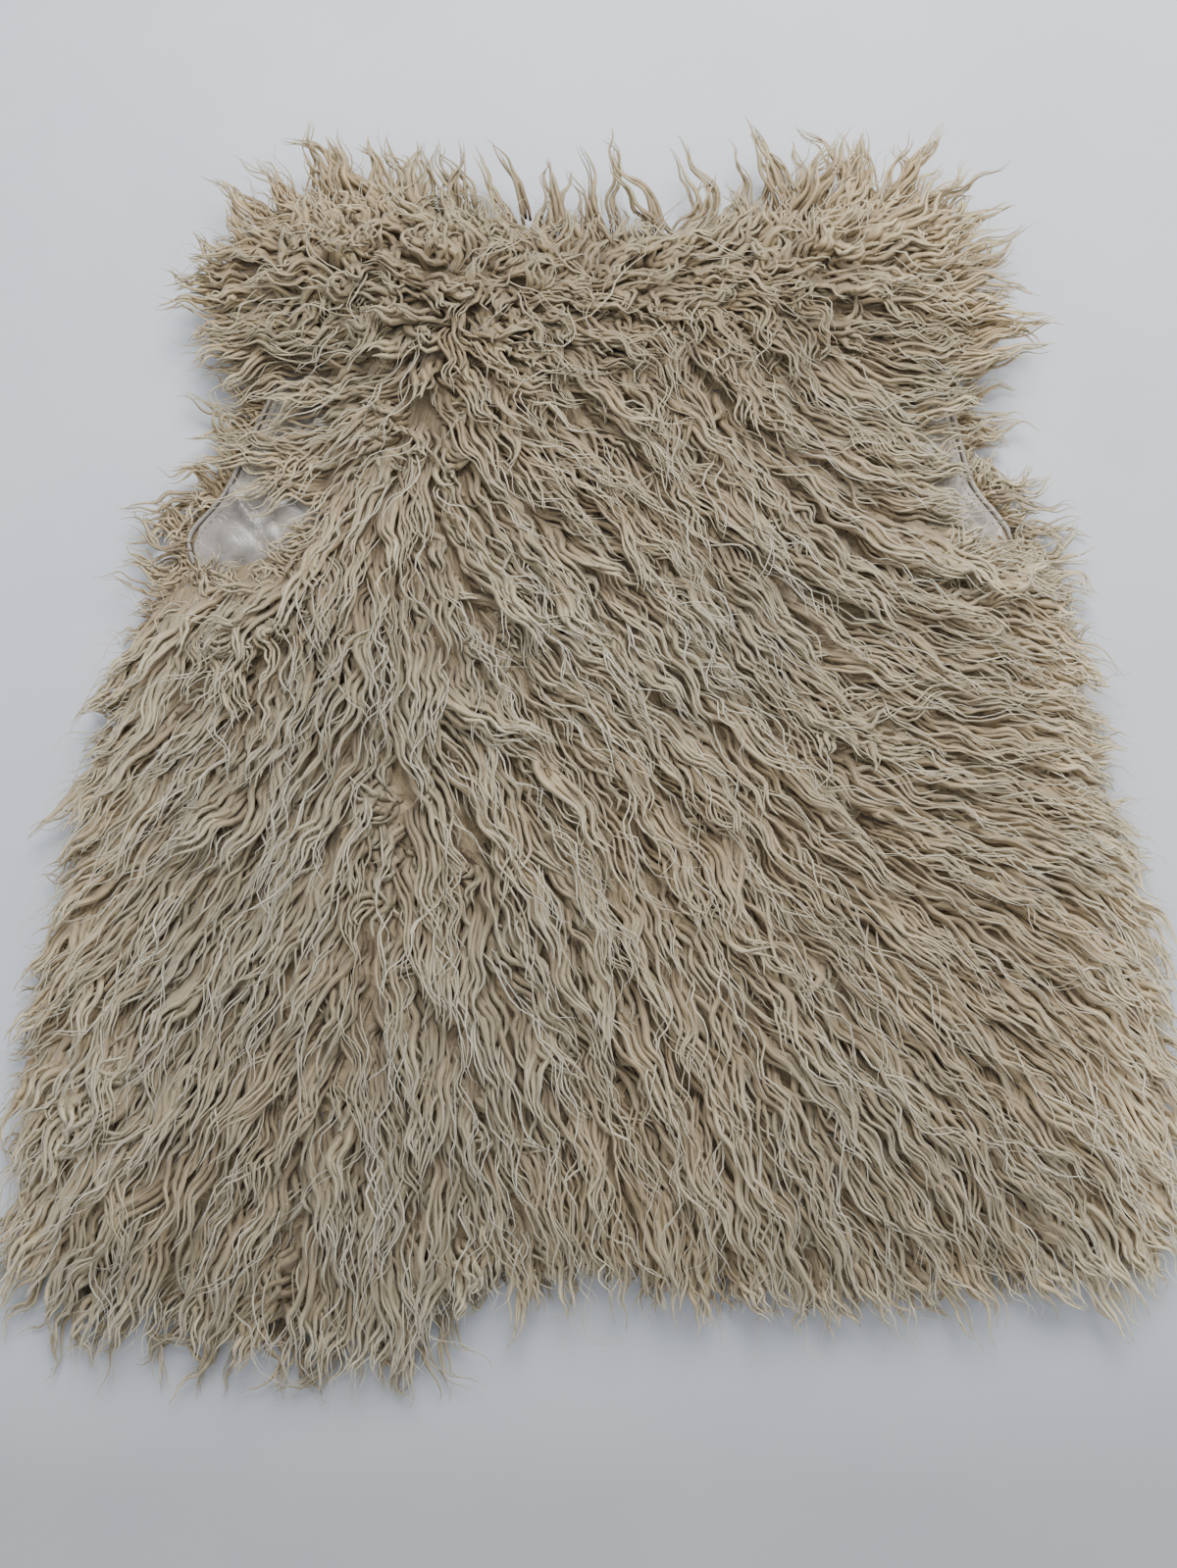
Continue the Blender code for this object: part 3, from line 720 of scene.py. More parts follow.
for side, sign in (("left", -1), ("right", 1)):
    path = curve_through(ARMHOLE_PATHS[side], ROLL_STEP) + PATTERN_SHIFT
    right = sideways_of(path)[2:-2]
    roll = path[2:-2] + right * sign * ROLL_OUT
    low = node_points(f"armhole_edge_{side}")[:, 2].min()
    along = np.arange(len(roll)) * ROLL_STEP
    pucker = 1 + 0.10 * np.sin(along / STITCH_PITCH * 2 * np.pi) + 0.07 * np.sin(along / 9.0)
    angles = np.radians([180, 150, 120, 90, 60, 30, 0, -90])
    taper = np.clip(np.minimum(along, along[-1] - along) / 6 + 0.25, 0, 1) ** 0.5
    profile = []
    for angle in angles:
        up = max(math.sin(angle), 0.0)
        high = low + ROLL_RISE * up * pucker * taper + (0.25 if angle > -1 else 0.0)
        profile.append((ROLL_HALF * math.cos(angle) * taper * pucker**0.5, high))
    edge = sweep(f"rolled_edge_{side}", roll, right, profile, SATIN[side])
    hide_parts(f"armhole_edge_{side}")

    fine = curve_through(ARMHOLE_PATHS[side], STITCH_STEP) + PATTERN_SHIFT
    line = fine + sideways_of(fine) * -sign * STITCH_IN
    chosen = slice(24, -24, int(STITCH_PITCH / STITCH_STEP))
    spots, arrows = line[chosen], np.gradient(line, axis=0)[chosen]
    arrows /= np.linalg.norm(arrows, axis=1)[:, None]
    heights = STITCH_HIGH + satin_lift(side, *spots.T)
    stitch_points, stitch_faces = bars(spots, arrows, 2.8, 0.42, heights)
    stitches = make_piece(f"stitches_{side}", stitch_points, stitch_faces, THREAD)

# %% [markdown]
# Now the fur.  Hair curves or particles could be grown on the panel, but the part must
# hold real surfaces, so each lock is a closed, three-sided, tapering tube with a flat side
# up, which smooth shading rounds off.  A lock has 34 or 52 faces, and thousands of locks
# are computed at once: every array below has one row for each lock and one column for each
# station along it.

# %% Helper: many locks as one mesh
FLATTEN = 0.8
FLOOR_CLEAR = 0.15
TOTAL = []


def grow(name, walks, radius, tones, material, seed):
    """Tubes round the walks: rings of three points, a flat side up, closed to a tip.

    walks is (locks, stations, 3) in millimetres.  The radius at each station is the
    lock's own radius times a profile that swells a little, then thins to the tip.
    """
    locks, stations = walks.shape[:2]
    chance = np.random.default_rng(seed)
    t = np.linspace(0, 1, stations)[None, :, None]
    ahead = np.gradient(walks, axis=1)
    ahead /= np.linalg.norm(ahead, axis=2)[..., None] + 1e-9
    right = np.stack([ahead[..., 1], -ahead[..., 0], np.zeros(ahead.shape[:2])], axis=-1)
    right /= np.linalg.norm(right, axis=2)[..., None] + 1e-9
    up = np.cross(right, ahead)
    knots = chance.uniform(0, 6.28, (locks, 1, 1))
    swell = 0.80 + 0.20 * np.sin(np.pi * np.minimum(t * 1.5, 1)) + 0.10 * np.sin(15 * t + knots)
    thick = radius[:, None, None] * swell * (1 - 0.94 * t**3.0)
    rings = []
    for turn in np.radians([25, 155, 270]):
        rings.append(walks + thick * (math.cos(turn) * right + math.sin(turn) * FLATTEN * up))
    tube = np.stack(rings, axis=2)
    body = tube[:, :-1].reshape(locks, -1, 3)
    points = np.concatenate([body, walks[:, -1:]], axis=1)
    points[..., 2] = np.maximum(points[..., 2], FLOOR_CLEAR)
    per_lock = points.shape[1]

    quads, k, c = strip_quads(stations - 1, 3)
    last = (stations - 2) * 3
    tips = np.array([[last + side, last + (side + 1) % 3, per_lock - 1] for side in range(3)])
    roots = np.array([[2, 1, 0]])
    shift = (np.arange(locks) * per_lock)[:, None, None]

    own = chance.integers(0, 40, locks).astype(float)
    length = np.linalg.norm(np.diff(walks, axis=1), axis=2).sum(axis=1)
    around = np.column_stack([c, c + 1, c + 1, c]) / 3.0
    share = np.column_stack([k, k, k + 1, k + 1]) / (stations - 1)
    quad_uv = np.stack(np.broadcast_arrays(
        around[None] + own[:, None, None], share[None] * length[:, None, None] / 10
    ), axis=-1)
    tip_uv = np.broadcast_to(
        np.stack([own, length / 10], axis=-1)[:, None, None], (locks, 3, 3, 2)
    )
    root_uv = np.broadcast_to(np.stack([own, own * 0], axis=-1)[:, None, None], (locks, 1, 3, 2))
    faces = [(part + shift).reshape(-1, part.shape[1]) for part in (quads, tips, roots)]
    face_uv = [uv.reshape(-1, uv.shape[2], 2) for uv in (quad_uv, tip_uv, root_uv)]
    marks = np.ones((locks, per_lock, 4))
    marks[..., 0] = tones[:, None]
    marks[:, :-1, 1] = np.repeat(np.linspace(0, 1, stations)[:-1], 3)
    TOTAL.append(locks * (6 * (stations - 2) + 4))
    return make_piece(name, points.reshape(-1, 3), faces, material, marks=marks, face_uv=face_uv)


# %% [markdown]
# Roots are spread evenly: a honeycomb of spots, each shaken a little, kept where they fall
# on the cloth.  How tangled the fur is there comes from a few listed soft spots: a
# curly band below the neck, curls under both arms, and neat long locks at the lower right.

# %% Helpers: roots and tangle
def spread_roots(margin, spacing, seed):
    """Honeycomb spots, shaken, that lie at least the margin inside the back's rim."""
    chance = np.random.default_rng(seed)
    gx, gy = np.meshgrid(np.arange(-340, 340, spacing), np.arange(-390, 390, spacing * 0.866))
    gx = gx + (np.arange(gx.shape[0]) % 2)[:, None] * spacing / 2
    x = gx.ravel() + chance.uniform(-0.45, 0.45, gx.size) * spacing
    y = gy.ravel() + chance.uniform(-0.45, 0.45, gx.size) * spacing
    keep = read_chart(BACK_EDGE, x, y) > margin
    return x[keep], y[keep], chance


TANGLED_SPOTS = [
    # x, y, half-width, half-height, strength
    (10, 258, 125, 30, 0.95),
    (-130, 262, 70, 36, 0.75),
    (-60, 205, 70, 22, 0.35),
    (130, 275, 60, 26, 0.45),
    (-180, 58, 48, 34, 0.60),
    (200, 70, 34, 26, 0.50),
    (-60, -285, 40, 24, 0.35),
    (120, -20, 26, 16, 0.45),
    (30, -110, 24, 18, 0.40),
    (-245, -200, 30, 60, 0.35),
    (262, -60, 26, 70, 0.40),
    (170, -120, 110, 120, -0.22),
    (-120, -120, 90, 110, -0.10),
]


def add_bells(total, spots, x, y):
    """A total plus, for each spot, its gain times a bell curve in both directions."""
    for sx, sy, wide, high, gain in spots:
        total = total + gain * np.exp(-(((x - sx) / wide) ** 2) - ((y - sy) / high) ** 2)
    return total


def tangle_at(x, y):
    """How tangled the fur is: a base value plus bell-shaped spots, kept from 0.1 to 1.2."""
    return np.clip(add_bells(0.36 + 0.10 * ripple(x, y, 90, 31), TANGLED_SPOTS, x, y), 0.10, 1.2)


# %% [markdown]
# A bunch of locks has one middle line.  The line is a walk: at every step it heads the way
# the fur is combed, turned by a long bend, a short crimp and a growing curl, and one
# cumulative sum adds up the steps of all bunches together.  The locks of a bunch run
# beside that line and draw together toward its tip, which is what makes fur look like
# locks and not like a brush.

# %% Helper: middle lines of bunches
LINE_STATIONS = 44
SIDE_LIMIT, END_LIMIT = 319.5, 361.0


def keep_inside(line, root, limit):
    """Shrink each line about its root so that it stays within plus or minus the limit."""
    ahead = (limit - root) / np.maximum(line.max(axis=1) - root, 1e-6)
    behind = (limit + root) / np.maximum(root - line.min(axis=1), 1e-6)
    share = np.clip(np.minimum(ahead, behind), 0.2, 1)[:, None]
    return root[:, None] + (line - root[:, None]) * share


def middle_lines(x, y, heading, length, bend, crimp, curl, chance, past_rim=None):
    """Middle line of each bunch and its sideways heading, at even stations.

    A line whose tip lies further past the rim than past_rim is shrunk about its root.

    Heading at a station = the comb's, plus bend times a long sine, plus crimp times a
    short sine, plus curl times the square of the way gone.
    """
    t = np.linspace(0, 1, LINE_STATIONS)[None]
    column = lambda values: np.asarray(values)[:, None]
    reach = column(length) * t * 0.6
    guess = comb(
        column(x) + np.cos(column(heading)) * reach, column(y) + np.sin(column(heading)) * reach
    )
    follow = np.angle(np.exp(1j * (guess - column(comb(x, y)))))
    phase = chance.uniform(0, 2 * np.pi, (2, len(x), 1))
    bends = column(length / chance.uniform(26, 48, len(x)))
    crimps = column(length / chance.uniform(13, 22, len(x)))
    base = column(heading) + 0.8 * follow + column(curl) * t**2
    bending = column(bend) * np.sin(2 * np.pi * bends * t**1.15 + phase[0])
    crimping = column(crimp) * np.sin(2 * np.pi * crimps * t**0.9 + phase[1])
    turn = base + bending + crimping * np.minimum(5 * t, 1)
    step = column(length) / (LINE_STATIONS - 1)
    px = column(x) + (np.cumsum(np.cos(turn), axis=1) - np.cos(turn[:, :1])) * step
    py = column(y) + (np.cumsum(np.sin(turn), axis=1) - np.sin(turn[:, :1])) * step
    sideways = base + 0.6 * bending + np.pi / 2
    if past_rim is not None:
        excess = -read_chart(BACK_EDGE, px[:, -5], py[:, -5]) - past_rim
        share = column(np.clip(1 - np.maximum(excess, 0) / length, 0.25, 1))
        px = column(x) + (px - column(x)) * share
        py = column(y) + (py - column(y)) * share
    return keep_inside(px, x, SIDE_LIMIT), keep_inside(py, y, END_LIMIT), sideways


# %% Helper: locks of a bunch
def part_bunches(
    lines, per, gap, gather, loose, rise, droop, ground, stations, chance, wave=0.8
):
    """Locks beside each middle line, as walks of (bunches, per, stations, 3).

    A lock reads its line from a start of its own to an end of its own, moved sideways by
    its place in the bunch.  The move shrinks by the share gather toward the tip, a slow
    sine of size loose lets locks stray and cross, and a quick one of size wave crimps each.
    Its height is the ground's plus the bunch's rise times the way gone to the power 0.7.
    """
    px, py, sideways = lines
    count = len(px)
    place = np.arange(per)[None] - (per - 1) / 2 + chance.uniform(-0.3, 0.3, (count, per))
    t = np.linspace(0, 1, stations)[None, None]
    start = chance.uniform(0, 0.12, (count, per, 1))
    span = chance.uniform(0.70, 0.88, (count, per, 1))
    at = (start + span * t) * (LINE_STATIONS - 1)
    low = np.minimum(at.astype(int), LINE_STATIONS - 2)
    rest = at - low
    row = np.arange(count)[:, None, None]
    read = lambda line: line[row, low] * (1 - rest) + line[row, low + 1] * rest
    wide = lambda values: np.broadcast_to(values, count)[:, None, None]
    stray = chance.uniform(-1, 1, (count, per, 1)) * loose
    stray = stray * np.sin(2 * np.pi * (chance.uniform(0.5, 1.4, (count, per, 1)) * t)) * t
    beat = chance.uniform(0, 6.28, (count, per, 1))
    size = chance.uniform(0.2, 1.0, (count, per, 1)) * wave
    waves = chance.uniform(2.0, stations / 4, (count, per, 1))
    stray = stray + size * np.sin(2 * np.pi * waves * t + beat) * np.minimum(4 * t, 1)
    offset = place[..., None] * gap * (1 - wide(gather) * t**1.5) + stray
    side = read(sideways)
    lx = read(px) + np.cos(side) * offset
    ly = read(py) + np.sin(side) * offset
    level = ground(lx.ravel(), ly.ravel(), np.broadcast_to(wide(droop), lx.shape).ravel())
    lift = wide(rise) * t**0.7 + chance.uniform(-1.2, 1.8, (count, per, 1)) * np.minimum(3 * t, 1)
    bob = 0.9 * np.sin(2 * np.pi * (chance.uniform(1.5, 3.5, (count, per, 1)) * t + start * 9))
    lz = level.reshape(lx.shape) + lift + bob * np.minimum(3 * t, 1) - 1.6 * (1 - t) ** 3
    return np.stack([lx, ly, np.maximum(lz, 2.2)], axis=-1)


# %% [markdown]
# The ground that locks lie on is the dense wool, and past the rim a slope that sinks
# toward the table.  Over the satin the slope stays above the lining, so that locks cross
# the armholes as they do on the real vest.

# %% Helper: ground under the locks
TABLE_CLEAR = 2.0
FRONT_EDGE = np.maximum(*(edge_distance(border) for border in FRONT_BORDERS.values()))
SATIN_CLEAR = 13.4
ROOT_ON_FRONT = 5.0


def pile_ground(x, y, droop):
    """Ground of the back's locks: wool, satin in the armholes, then a falling slope."""
    past_back = np.maximum(-read_chart(BACK_EDGE, x, y), 0)
    past_front = np.maximum(-read_chart(FRONT_EDGE, x, y), 0)
    wool = under_pile(x, y) - droop * past_back
    creases = crease_height("left", x, y) + crease_height("right", x, y)
    satin = SATIN_CLEAR + creases - 2.0 * droop * past_front
    return np.maximum(np.maximum(wool, satin), TABLE_CLEAR)


def table_ground(x, y, droop):
    """Ground of the fronts' locks: low at the cloth's edge, lower as they run out."""
    return np.maximum(ROOT_ON_FRONT - droop * np.maximum(-read_chart(BACK_EDGE, x, y), 0), 1.6)


# %% [markdown]
# The back's fur has four layers.  Broad soft locks bulge at the bottom and fill the gaps,
# curls sit where the fur is tangled, short ones hide the rim, and bunches of long locks
# lie over all of them.  Where the fur is tangled, headings scatter and curls tighten.
# Locks lying lower are darker: painted shade of the pile's depth.

# %% The back's locks
LAYERS = {
    # The lower layers take darker tone ranges: painted shade of the pile's depth.
    # spacing, locks a bunch, gap, stations, lengths, radii, crimps, rises, tones
    "under": (16.0, 2, 4.6, 12, (44, 66), (1.9, 3.1), (0.25, 0.50), (0.00, 0.45), (0.00, 0.50)),
    "curly": (10.2, 3, 4.4, 12, (34, 60), (1.5, 3.1), (0.20, 0.50), (0.25, 1.00), (0.10, 0.90)),
    "rim": (8.6, 3, 2.6, 12, (22, 40), (0.9, 1.7), (0.20, 0.50), (0.00, 0.30), (0.10, 0.80)),
    "long": (18.7, 5, 3.1, 18, (66, 104), (1.0, 2.3), (0.06, 0.24), (0.35, 1.05), (0.25, 1.00)),
}


NEAT_RIM, GATHERED_RIM = 45, 60


def bunch_headings(x, y, chance):
    """Comb heading, a drift shared by neighbours, and scatter that grows with tangle."""
    inside = np.clip(read_chart(BACK_EDGE, x, y) / NEAT_RIM, 0, 1)
    tangle = tangle_at(x, y) * (0.35 + 0.65 * inside)
    drift = 0.26 * ripple(x, y, 64, 21) * (0.3 + tangle)
    scatter = chance.normal(0, 1, len(x)) * (0.07 + 0.62 * tangle**2.2)
    return comb(x, y) + drift + scatter, tangle


def reach_past_rim(x, y, chance):
    """How far a bunch may hang past the rim: far at neck and shoulders, less elsewhere."""
    top = y > 200
    armhole = (np.abs(x) > 140) & (y > 70) & ~top
    wisp = chance.uniform(0, 1, len(x)) < np.where(top, 0.62, 0.30)
    near = chance.uniform(0, 12, len(x)) * np.where(top, 1.0, 0.6)
    far = chance.uniform(18, 50, len(x))
    far = far * np.select([top, armhole, y < -250], [1.25, 0.4, 0.55], 0.5)
    far = far * np.where(top & (x < -150), 0.55, 1.0)
    hang = np.select([x < -84, x > 95], [20.0, 13.0], 0.0) * (y < -230)
    return np.where(wisp, far, near) + hang


PAINTED_LIGHT_SPOTS = [
    # x, y, half-width, half-height, how much paler: painted light, painted shade below zero
    (-150, -190, 110, 110, -0.25),
    (-10, 240, 85, 65, -0.34),
    (-152, 58, 42, 46, -0.75),
    (205, 48, 30, 26, -0.30),
    (150, -335, 170, 46, 0.95),
    (290, -240, 60, 130, 0.72),
    (-215, 300, 45, 45, 0.30),
    (185, 300, 45, 60, 0.30),
    (-225, 130, 40, 40, 0.40),
]


def painted_light_by_place(x, y):
    """Painted light and shade by place: paler at the right, duller at the neck, and single spots.
    """
    side = np.clip((np.abs(x) - 185) / 80, 0, 1) * np.where(x > 0, 1.1, 0.3)
    light = side - 0.42 * np.clip((y - 165) / 60, 0, 1) * np.clip((165 - x) / 60, 0, 1)
    return add_bells(light, PAINTED_LIGHT_SPOTS, x, y)


FRINGE_TOP, FRINGE_HEM = 190, -292
NECK_SPAN = (-80, 84)
UPPER_ABOVE, WAIST_ABOVE = 165, -30
HALVES_MEET = 10


def zone_of(walks):
    """Piece that each lock belongs to, by where its tip and its root lie."""
    root, tip = walks[:, 0], walks[:, -1]
    past_rim = read_chart(BACK_EDGE, tip[:, 0], tip[:, 1]) < -1
    left, top = tip[:, 0] < 0, tip[:, 1] > FRINGE_TOP
    shoulder = top & ((tip[:, 0] < NECK_SPAN[0]) | (tip[:, 0] > NECK_SPAN[1]))
    fringe = np.select(
        [tip[:, 1] < FRINGE_HEM, shoulder & left, shoulder, top, left],
        ["fringe_hem", "fringe_shoulder_left", "fringe_shoulder_right", "fringe_neck",
         "fringe_left"],
        "fringe_right",
    )
    body = np.select(
        [root[:, 1] > UPPER_ABOVE, root[:, 1] > WAIST_ABOVE], ["fur_upper", "fur_waist"],
        "fur_lower",
    )
    half = np.where(root[:, 0] < HALVES_MEET, "_left", "_right")
    return np.where(past_rim, fringe, np.char.add(body, half))


back_locks = []
for number, (layer, row) in enumerate(LAYERS.items()):
    spacing, per, gap, stations, lengths, radii, crimps, rises, tone_range = row
    x, y, chance = spread_roots(3.0 if layer == "rim" else 9.0, spacing, 5 + number)
    if layer == "rim":
        keep = read_chart(BACK_EDGE, x, y) < 10
        x, y = x[keep], y[keep]
    if layer == "curly":
        keep = tangle_at(x, y) > chance.uniform(0.5, 0.85, len(x))
        x, y = x[keep], y[keep]
    heading, tangle = bunch_headings(x, y, chance)
    count = len(x)
    length = chance.uniform(*lengths, count) * (1.11 - 0.34 * tangle)
    bend = chance.uniform(0.20, 0.48, count) * (0.7 + 0.8 * tangle)
    crimp = chance.uniform(*crimps, count) * (0.8 + 0.5 * tangle)
    curl = chance.normal(0, 1, count) * (0.14 + (2.2 if layer == "curly" else 0.9) * tangle**2)
    pile = pile_room(x, y)
    share = chance.uniform(*rises, count)
    droop = np.where(y > 215, 0.14, 0.30) * chance.uniform(0.6, 1.3, count)
    droop = droop * (3.0 if layer == "rim" else 1.0)
    rim = np.clip(read_chart(BACK_EDGE, x, y) / GATHERED_RIM, 0, 1)
    gather = chance.uniform(0.4, 0.85, count) * rim + chance.uniform(0.75, 1.0, count) * (1 - rim)
    past_rim = reach_past_rim(x, y, chance)
    lines = middle_lines(x, y, heading, length, bend, crimp, curl, chance, past_rim)
    walks = part_bunches(
        lines, per, gap, gather, 3.0, pile * share + 1.0, droop, pile_ground, stations, chance,
        0.8 if layer == "long" else 1.3,
    )
    pick = chance.uniform(0, 1, (count, per)) < (0.92 if layer == "long" else 1.0)
    # Painted shade of depth: locks that rise less are darker.
    tone = share[:, None] * 0.45 + chance.uniform(*tone_range, (count, per)) * 0.5
    # Painted light and shade: paler near the rim, and more by place.
    tone = np.clip(tone + (0.65 * (1 - rim) + painted_light_by_place(x, y))[:, None], -0.2, 1.9)
    radius = chance.uniform(*radii, (count, 1)) * chance.uniform(0.62, 1.2, (count, per))
    back_locks.append((walks[pick], radius[pick], tone[pick]))
    print(layer, "locks:", int(pick.sum()))

# %% [markdown]
# At the armholes the photograph shows single places to get right: a band of locks that
# crosses the satin, wisps at its outer side, and short curls that hide the cloth under the
# arm.  They are written down one by one, as a root, a heading, a length, a curl and a
# number of locks.  Those below the left armhole stand on top of the pile.

# %% The back's locks over the armholes
ARMHOLE_BUNCHES = [
    # x, y, heading, length, curl, locks
    (-140, 153, 200, 72, 0.9, 4), (-140, 142, 180, 76, -0.8, 4), (-140, 131, 194, 70, 0.9, 4),
    (-144, 170, 190, 74, 0.4, 3), (-142, 163, 186, 88, 0.3, 4), (-141, 156, 196, 92, -0.4, 4),
    (-142, 150, 182, 88, 0.5, 4), (-140, 145, 188, 92, 0.2, 4), (-141, 139, 196, 94, 0.5, 4),
    (-142, 133, 182, 88, -0.3, 4), (-142, 129, 186, 80, -0.2, 4), (-143, 125, 180, 74, -0.3, 4),
    (-145, 152, 206, 60, 1.2, 3), (-144, 136, 176, 62, -1.3, 3), (-146, 117, 192, 34, 0.8, 3),
    (-146, 106, 208, 36, -0.9, 3), (-148, 112, 190, 34, 1.0, 3), (-150, 103, 200, 34, -1.1, 3),
    (-152, 95, 188, 34, 1.2, 3), (-213, 63, 104, 25, 0.9, 4), (-207, 61, 78, 24, -1.1, 4),
    (-220, 66, 60, 22, 1.3, 3), (-148, 98, 196, 40, 1.2, 3), (-142, 192, 200, 52, 0.3, 4),
    (-150, 198, 214, 52, -0.3, 4), (-152, 88, 172, 36, 1.5, 4), (-154, 78, 150, 34, 1.6, 4),
    (-164, 70, 166, 34, -1.5, 4), (-178, 60, 130, 28, 1.8, 4), (-190, 56, 168, 30, -1.6, 4),
    (-200, 54, 110, 26, 1.5, 3), (-208, 52, 150, 28, -1.4, 3), (-172, 56, 96, 26, 2.0, 3),
    (-186, 50, 190, 34, 1.0, 4), (-200, 48, 200, 34, -1.0, 4), (-212, 46, 178, 32, 1.2, 3),
    (-165, 58, 200, 40, 0.8, 4), (-218, 56, 120, 26, 1.4, 4), (-224, 60, 92, 24, -1.2, 3),
    (-230, 60, 172, 56, 0.2, 3), (-222, 118, 188, 58, 0.4, 3), (-226, 88, 164, 58, -0.2, 3),
    (-214, 128, 170, 40, 0.6, 3),
    (222, 118, 2, 54, -0.6, 3), (228, 106, 356, 50, 0.4, 3), (226, 98, 340, 46, 0.9, 2),
    (-166, 202, 186, 76, 0.2, 4), (-168, 210, 190, 72, -0.3, 4), (-162, 196, 196, 68, 0.3, 4),
    (-172, 205, 178, 74, 0.4, 4), (-174, 198, 188, 62, -0.4, 3),
    (174, 138, 26, 50, -0.8, 3), (176, 118, 34, 48, -0.9, 3),
    (172, 184, 350, 60, -0.3, 4), (172, 176, 8, 58, 0.3, 3), (171, 167, 2, 60, -0.3, 3),
    (171, 158, 354, 58, 0.5, 3), (170, 150, 10, 58, -0.5, 3), (170, 141, 2, 56, 0.4, 3),
    (170, 132, 352, 54, 0.6, 3), (170, 123, 12, 48, -0.8, 3), (171, 113, 344, 44, 0.9, 2),
    (172, 103, 10, 40, -1.3, 2), (166, 146, 330, 46, 1.4, 2), (168, 128, 30, 44, -1.5, 2),
    (194, 88, 40, 30, -1.5, 4), (202, 80, 20, 34, 1.4, 4), (212, 74, 60, 26, -1.6, 4),
    (222, 70, 10, 32, 1.2, 4), (232, 68, 40, 30, -1.2, 3), (196, 76, 350, 36, 1.5, 4),
    (206, 70, 0, 34, 1.4, 4), (218, 64, 350, 34, 1.0, 3), (186, 88, 330, 34, 1.2, 3),
    (236, 76, 70, 26, 1.2, 3),
    (-216, 43, 262, 60, 0.6, 4), (-200, 42, 276, 64, -0.6, 4), (-187, 43, 258, 60, 0.7, 4),
    (-173, 44, 278, 62, -0.6, 4), (-160, 45, 262, 60, 0.6, 4), (-194, 22, 268, 56, 0.7, 3),
    (-166, 18, 274, 56, -0.7, 3),
]
ON_THE_PILE = 46
x, y, heading, length, curl, number = np.array(ARMHOLE_BUNCHES, float).T
chance = np.random.default_rng(52)
count = len(x)
lines = middle_lines(
    x, y, np.radians(heading), length * 1.1, chance.uniform(0.3, 0.6, count),
    chance.uniform(0.15, 0.35, count), curl, chance,
)
gather = chance.uniform(0.3, 0.8, count)
rise = np.where(y < ON_THE_PILE, pile_room(x, y) + 1.0, chance.uniform(2, 8, count))
walks = part_bunches(lines, 4, 2.6, gather, 3.5, rise, 0.1, pile_ground, 18, chance)
pick = np.arange(4)[None] < number[:, None]
radius, tone = chance.uniform(0.6, 1.6, pick.sum()), chance.uniform(0.5, 1.2, pick.sum())
back_locks.append((walks[pick], radius, tone))
print("armholes:", count, "bunches with", int(pick.sum()), "locks")

# %% [markdown]
# Along the neck and the shoulders the locks stand off as separate pointed wisps.  At the
# shoulders their roots follow the back's edge rather than the honeycomb, and each heads
# about halfway between straight out and the way the fur is combed.  Those of the neck, and
# the longest at the shoulders' corners, are placed one by one after the photograph.

# %% Wisps at the neck and shoulders
def edge_roots(border, spacing, inset, chance):
    """Spots along a border, just inside it, with the outward heading at each."""
    loop = np.vstack([border, border[:1]])
    along = way_along(loop)
    wanted = np.arange(0, along[-1], spacing)
    wanted = wanted + chance.uniform(-0.4, 0.4, len(wanted)) * spacing
    at = lambda place: points_at(place % along[-1], along, loop)
    spot = at(wanted)
    ahead = at(wanted + 8) - at(wanted - 8)
    ahead /= np.linalg.norm(ahead, axis=1)[:, None] + 1e-9
    out = np.column_stack([ahead[:, 1], -ahead[:, 0]])
    outward = np.sign(((spot - border.mean(axis=0)) * out).sum())
    return spot - out * outward * inset, np.arctan2(out[:, 1] * outward, out[:, 0] * outward)


PLACED_WISPS = [
    # x, y, heading, length, curl
    (-66, 292, 116, 58, 0.5), (-52, 290, 113, 66, -0.4), (-43, 291, 106, 56, 0.5),
    (-32, 284, 97, 46, -0.6), (-26, 280, 88, 52, 0.6), (-4, 280, 104, 44, 0.3),
    (5, 281, 105, 58, -0.3), (7, 282, 86, 72, 0.2), (36, 280, 124, 50, -0.4),
    (50, 280, 121, 76, -0.5), (57, 284, 92, 60, 0.4), (64, 288, 90, 68, 0.5),
    (93, 288, 92, 74, -0.3), (99, 288, 78, 70, 0.4),
    (131, 291, 77, 60, -0.3), (150, 290, 49, 68, 0.3), (162, 286, 31, 74, 0.2),
    (170, 284, 28, 84, 0.2), (176, 278, 20, 70, -0.2), (180, 268, 14, 72, 0.3),
    (181, 258, 13, 80, 0.2), (178, 242, 10, 68, -0.3),
    (-176, 279, 146, 70, -0.3), (-166, 282, 131, 68, 0.4), (-147, 287, 95, 68, 0.3),
    (-113, 290, 105, 68, -0.3),
]
PLACED_PAST_RIM = 90.0
RANDOM_LOCKS, PLACED_LOCKS = 5, 3
chance = np.random.default_rng(91)
spot, outward = edge_roots(BACK_BORDER, 5.0, 9.0, chance)
crowded = (spot[:, 0] > 108) & (spot[:, 0] < 180)
upper = (spot[:, 1] > 188) & (crowded | (np.arange(len(spot)) % 2 == 0))
x, y = spot[upper].T
count = len(x)
neck = np.exp(-(((x - 40) / 48) ** 2)) + 1.1 * np.exp(-(((x - 145) / 30) ** 2))
random_wisps = np.array([
    x, y, between(outward[upper], x, y, 0.9) + chance.normal(0, 0.26, count),
    chance.uniform(54, 92, count) + 26 * neck, chance.normal(0, 0.5, count),
    chance.uniform(20, 66, count) * np.where(x < -165, 0.62, 1.0) + 34 * neck,
])
random_wisps = random_wisps[:, (x < -74) | (x > 106)]
placed = np.array(PLACED_WISPS, float).T
placed = np.vstack([
    placed[:2], np.radians(placed[2]), placed[3] * 1.2, placed[4],
    np.full(len(PLACED_WISPS), PLACED_PAST_RIM),
])
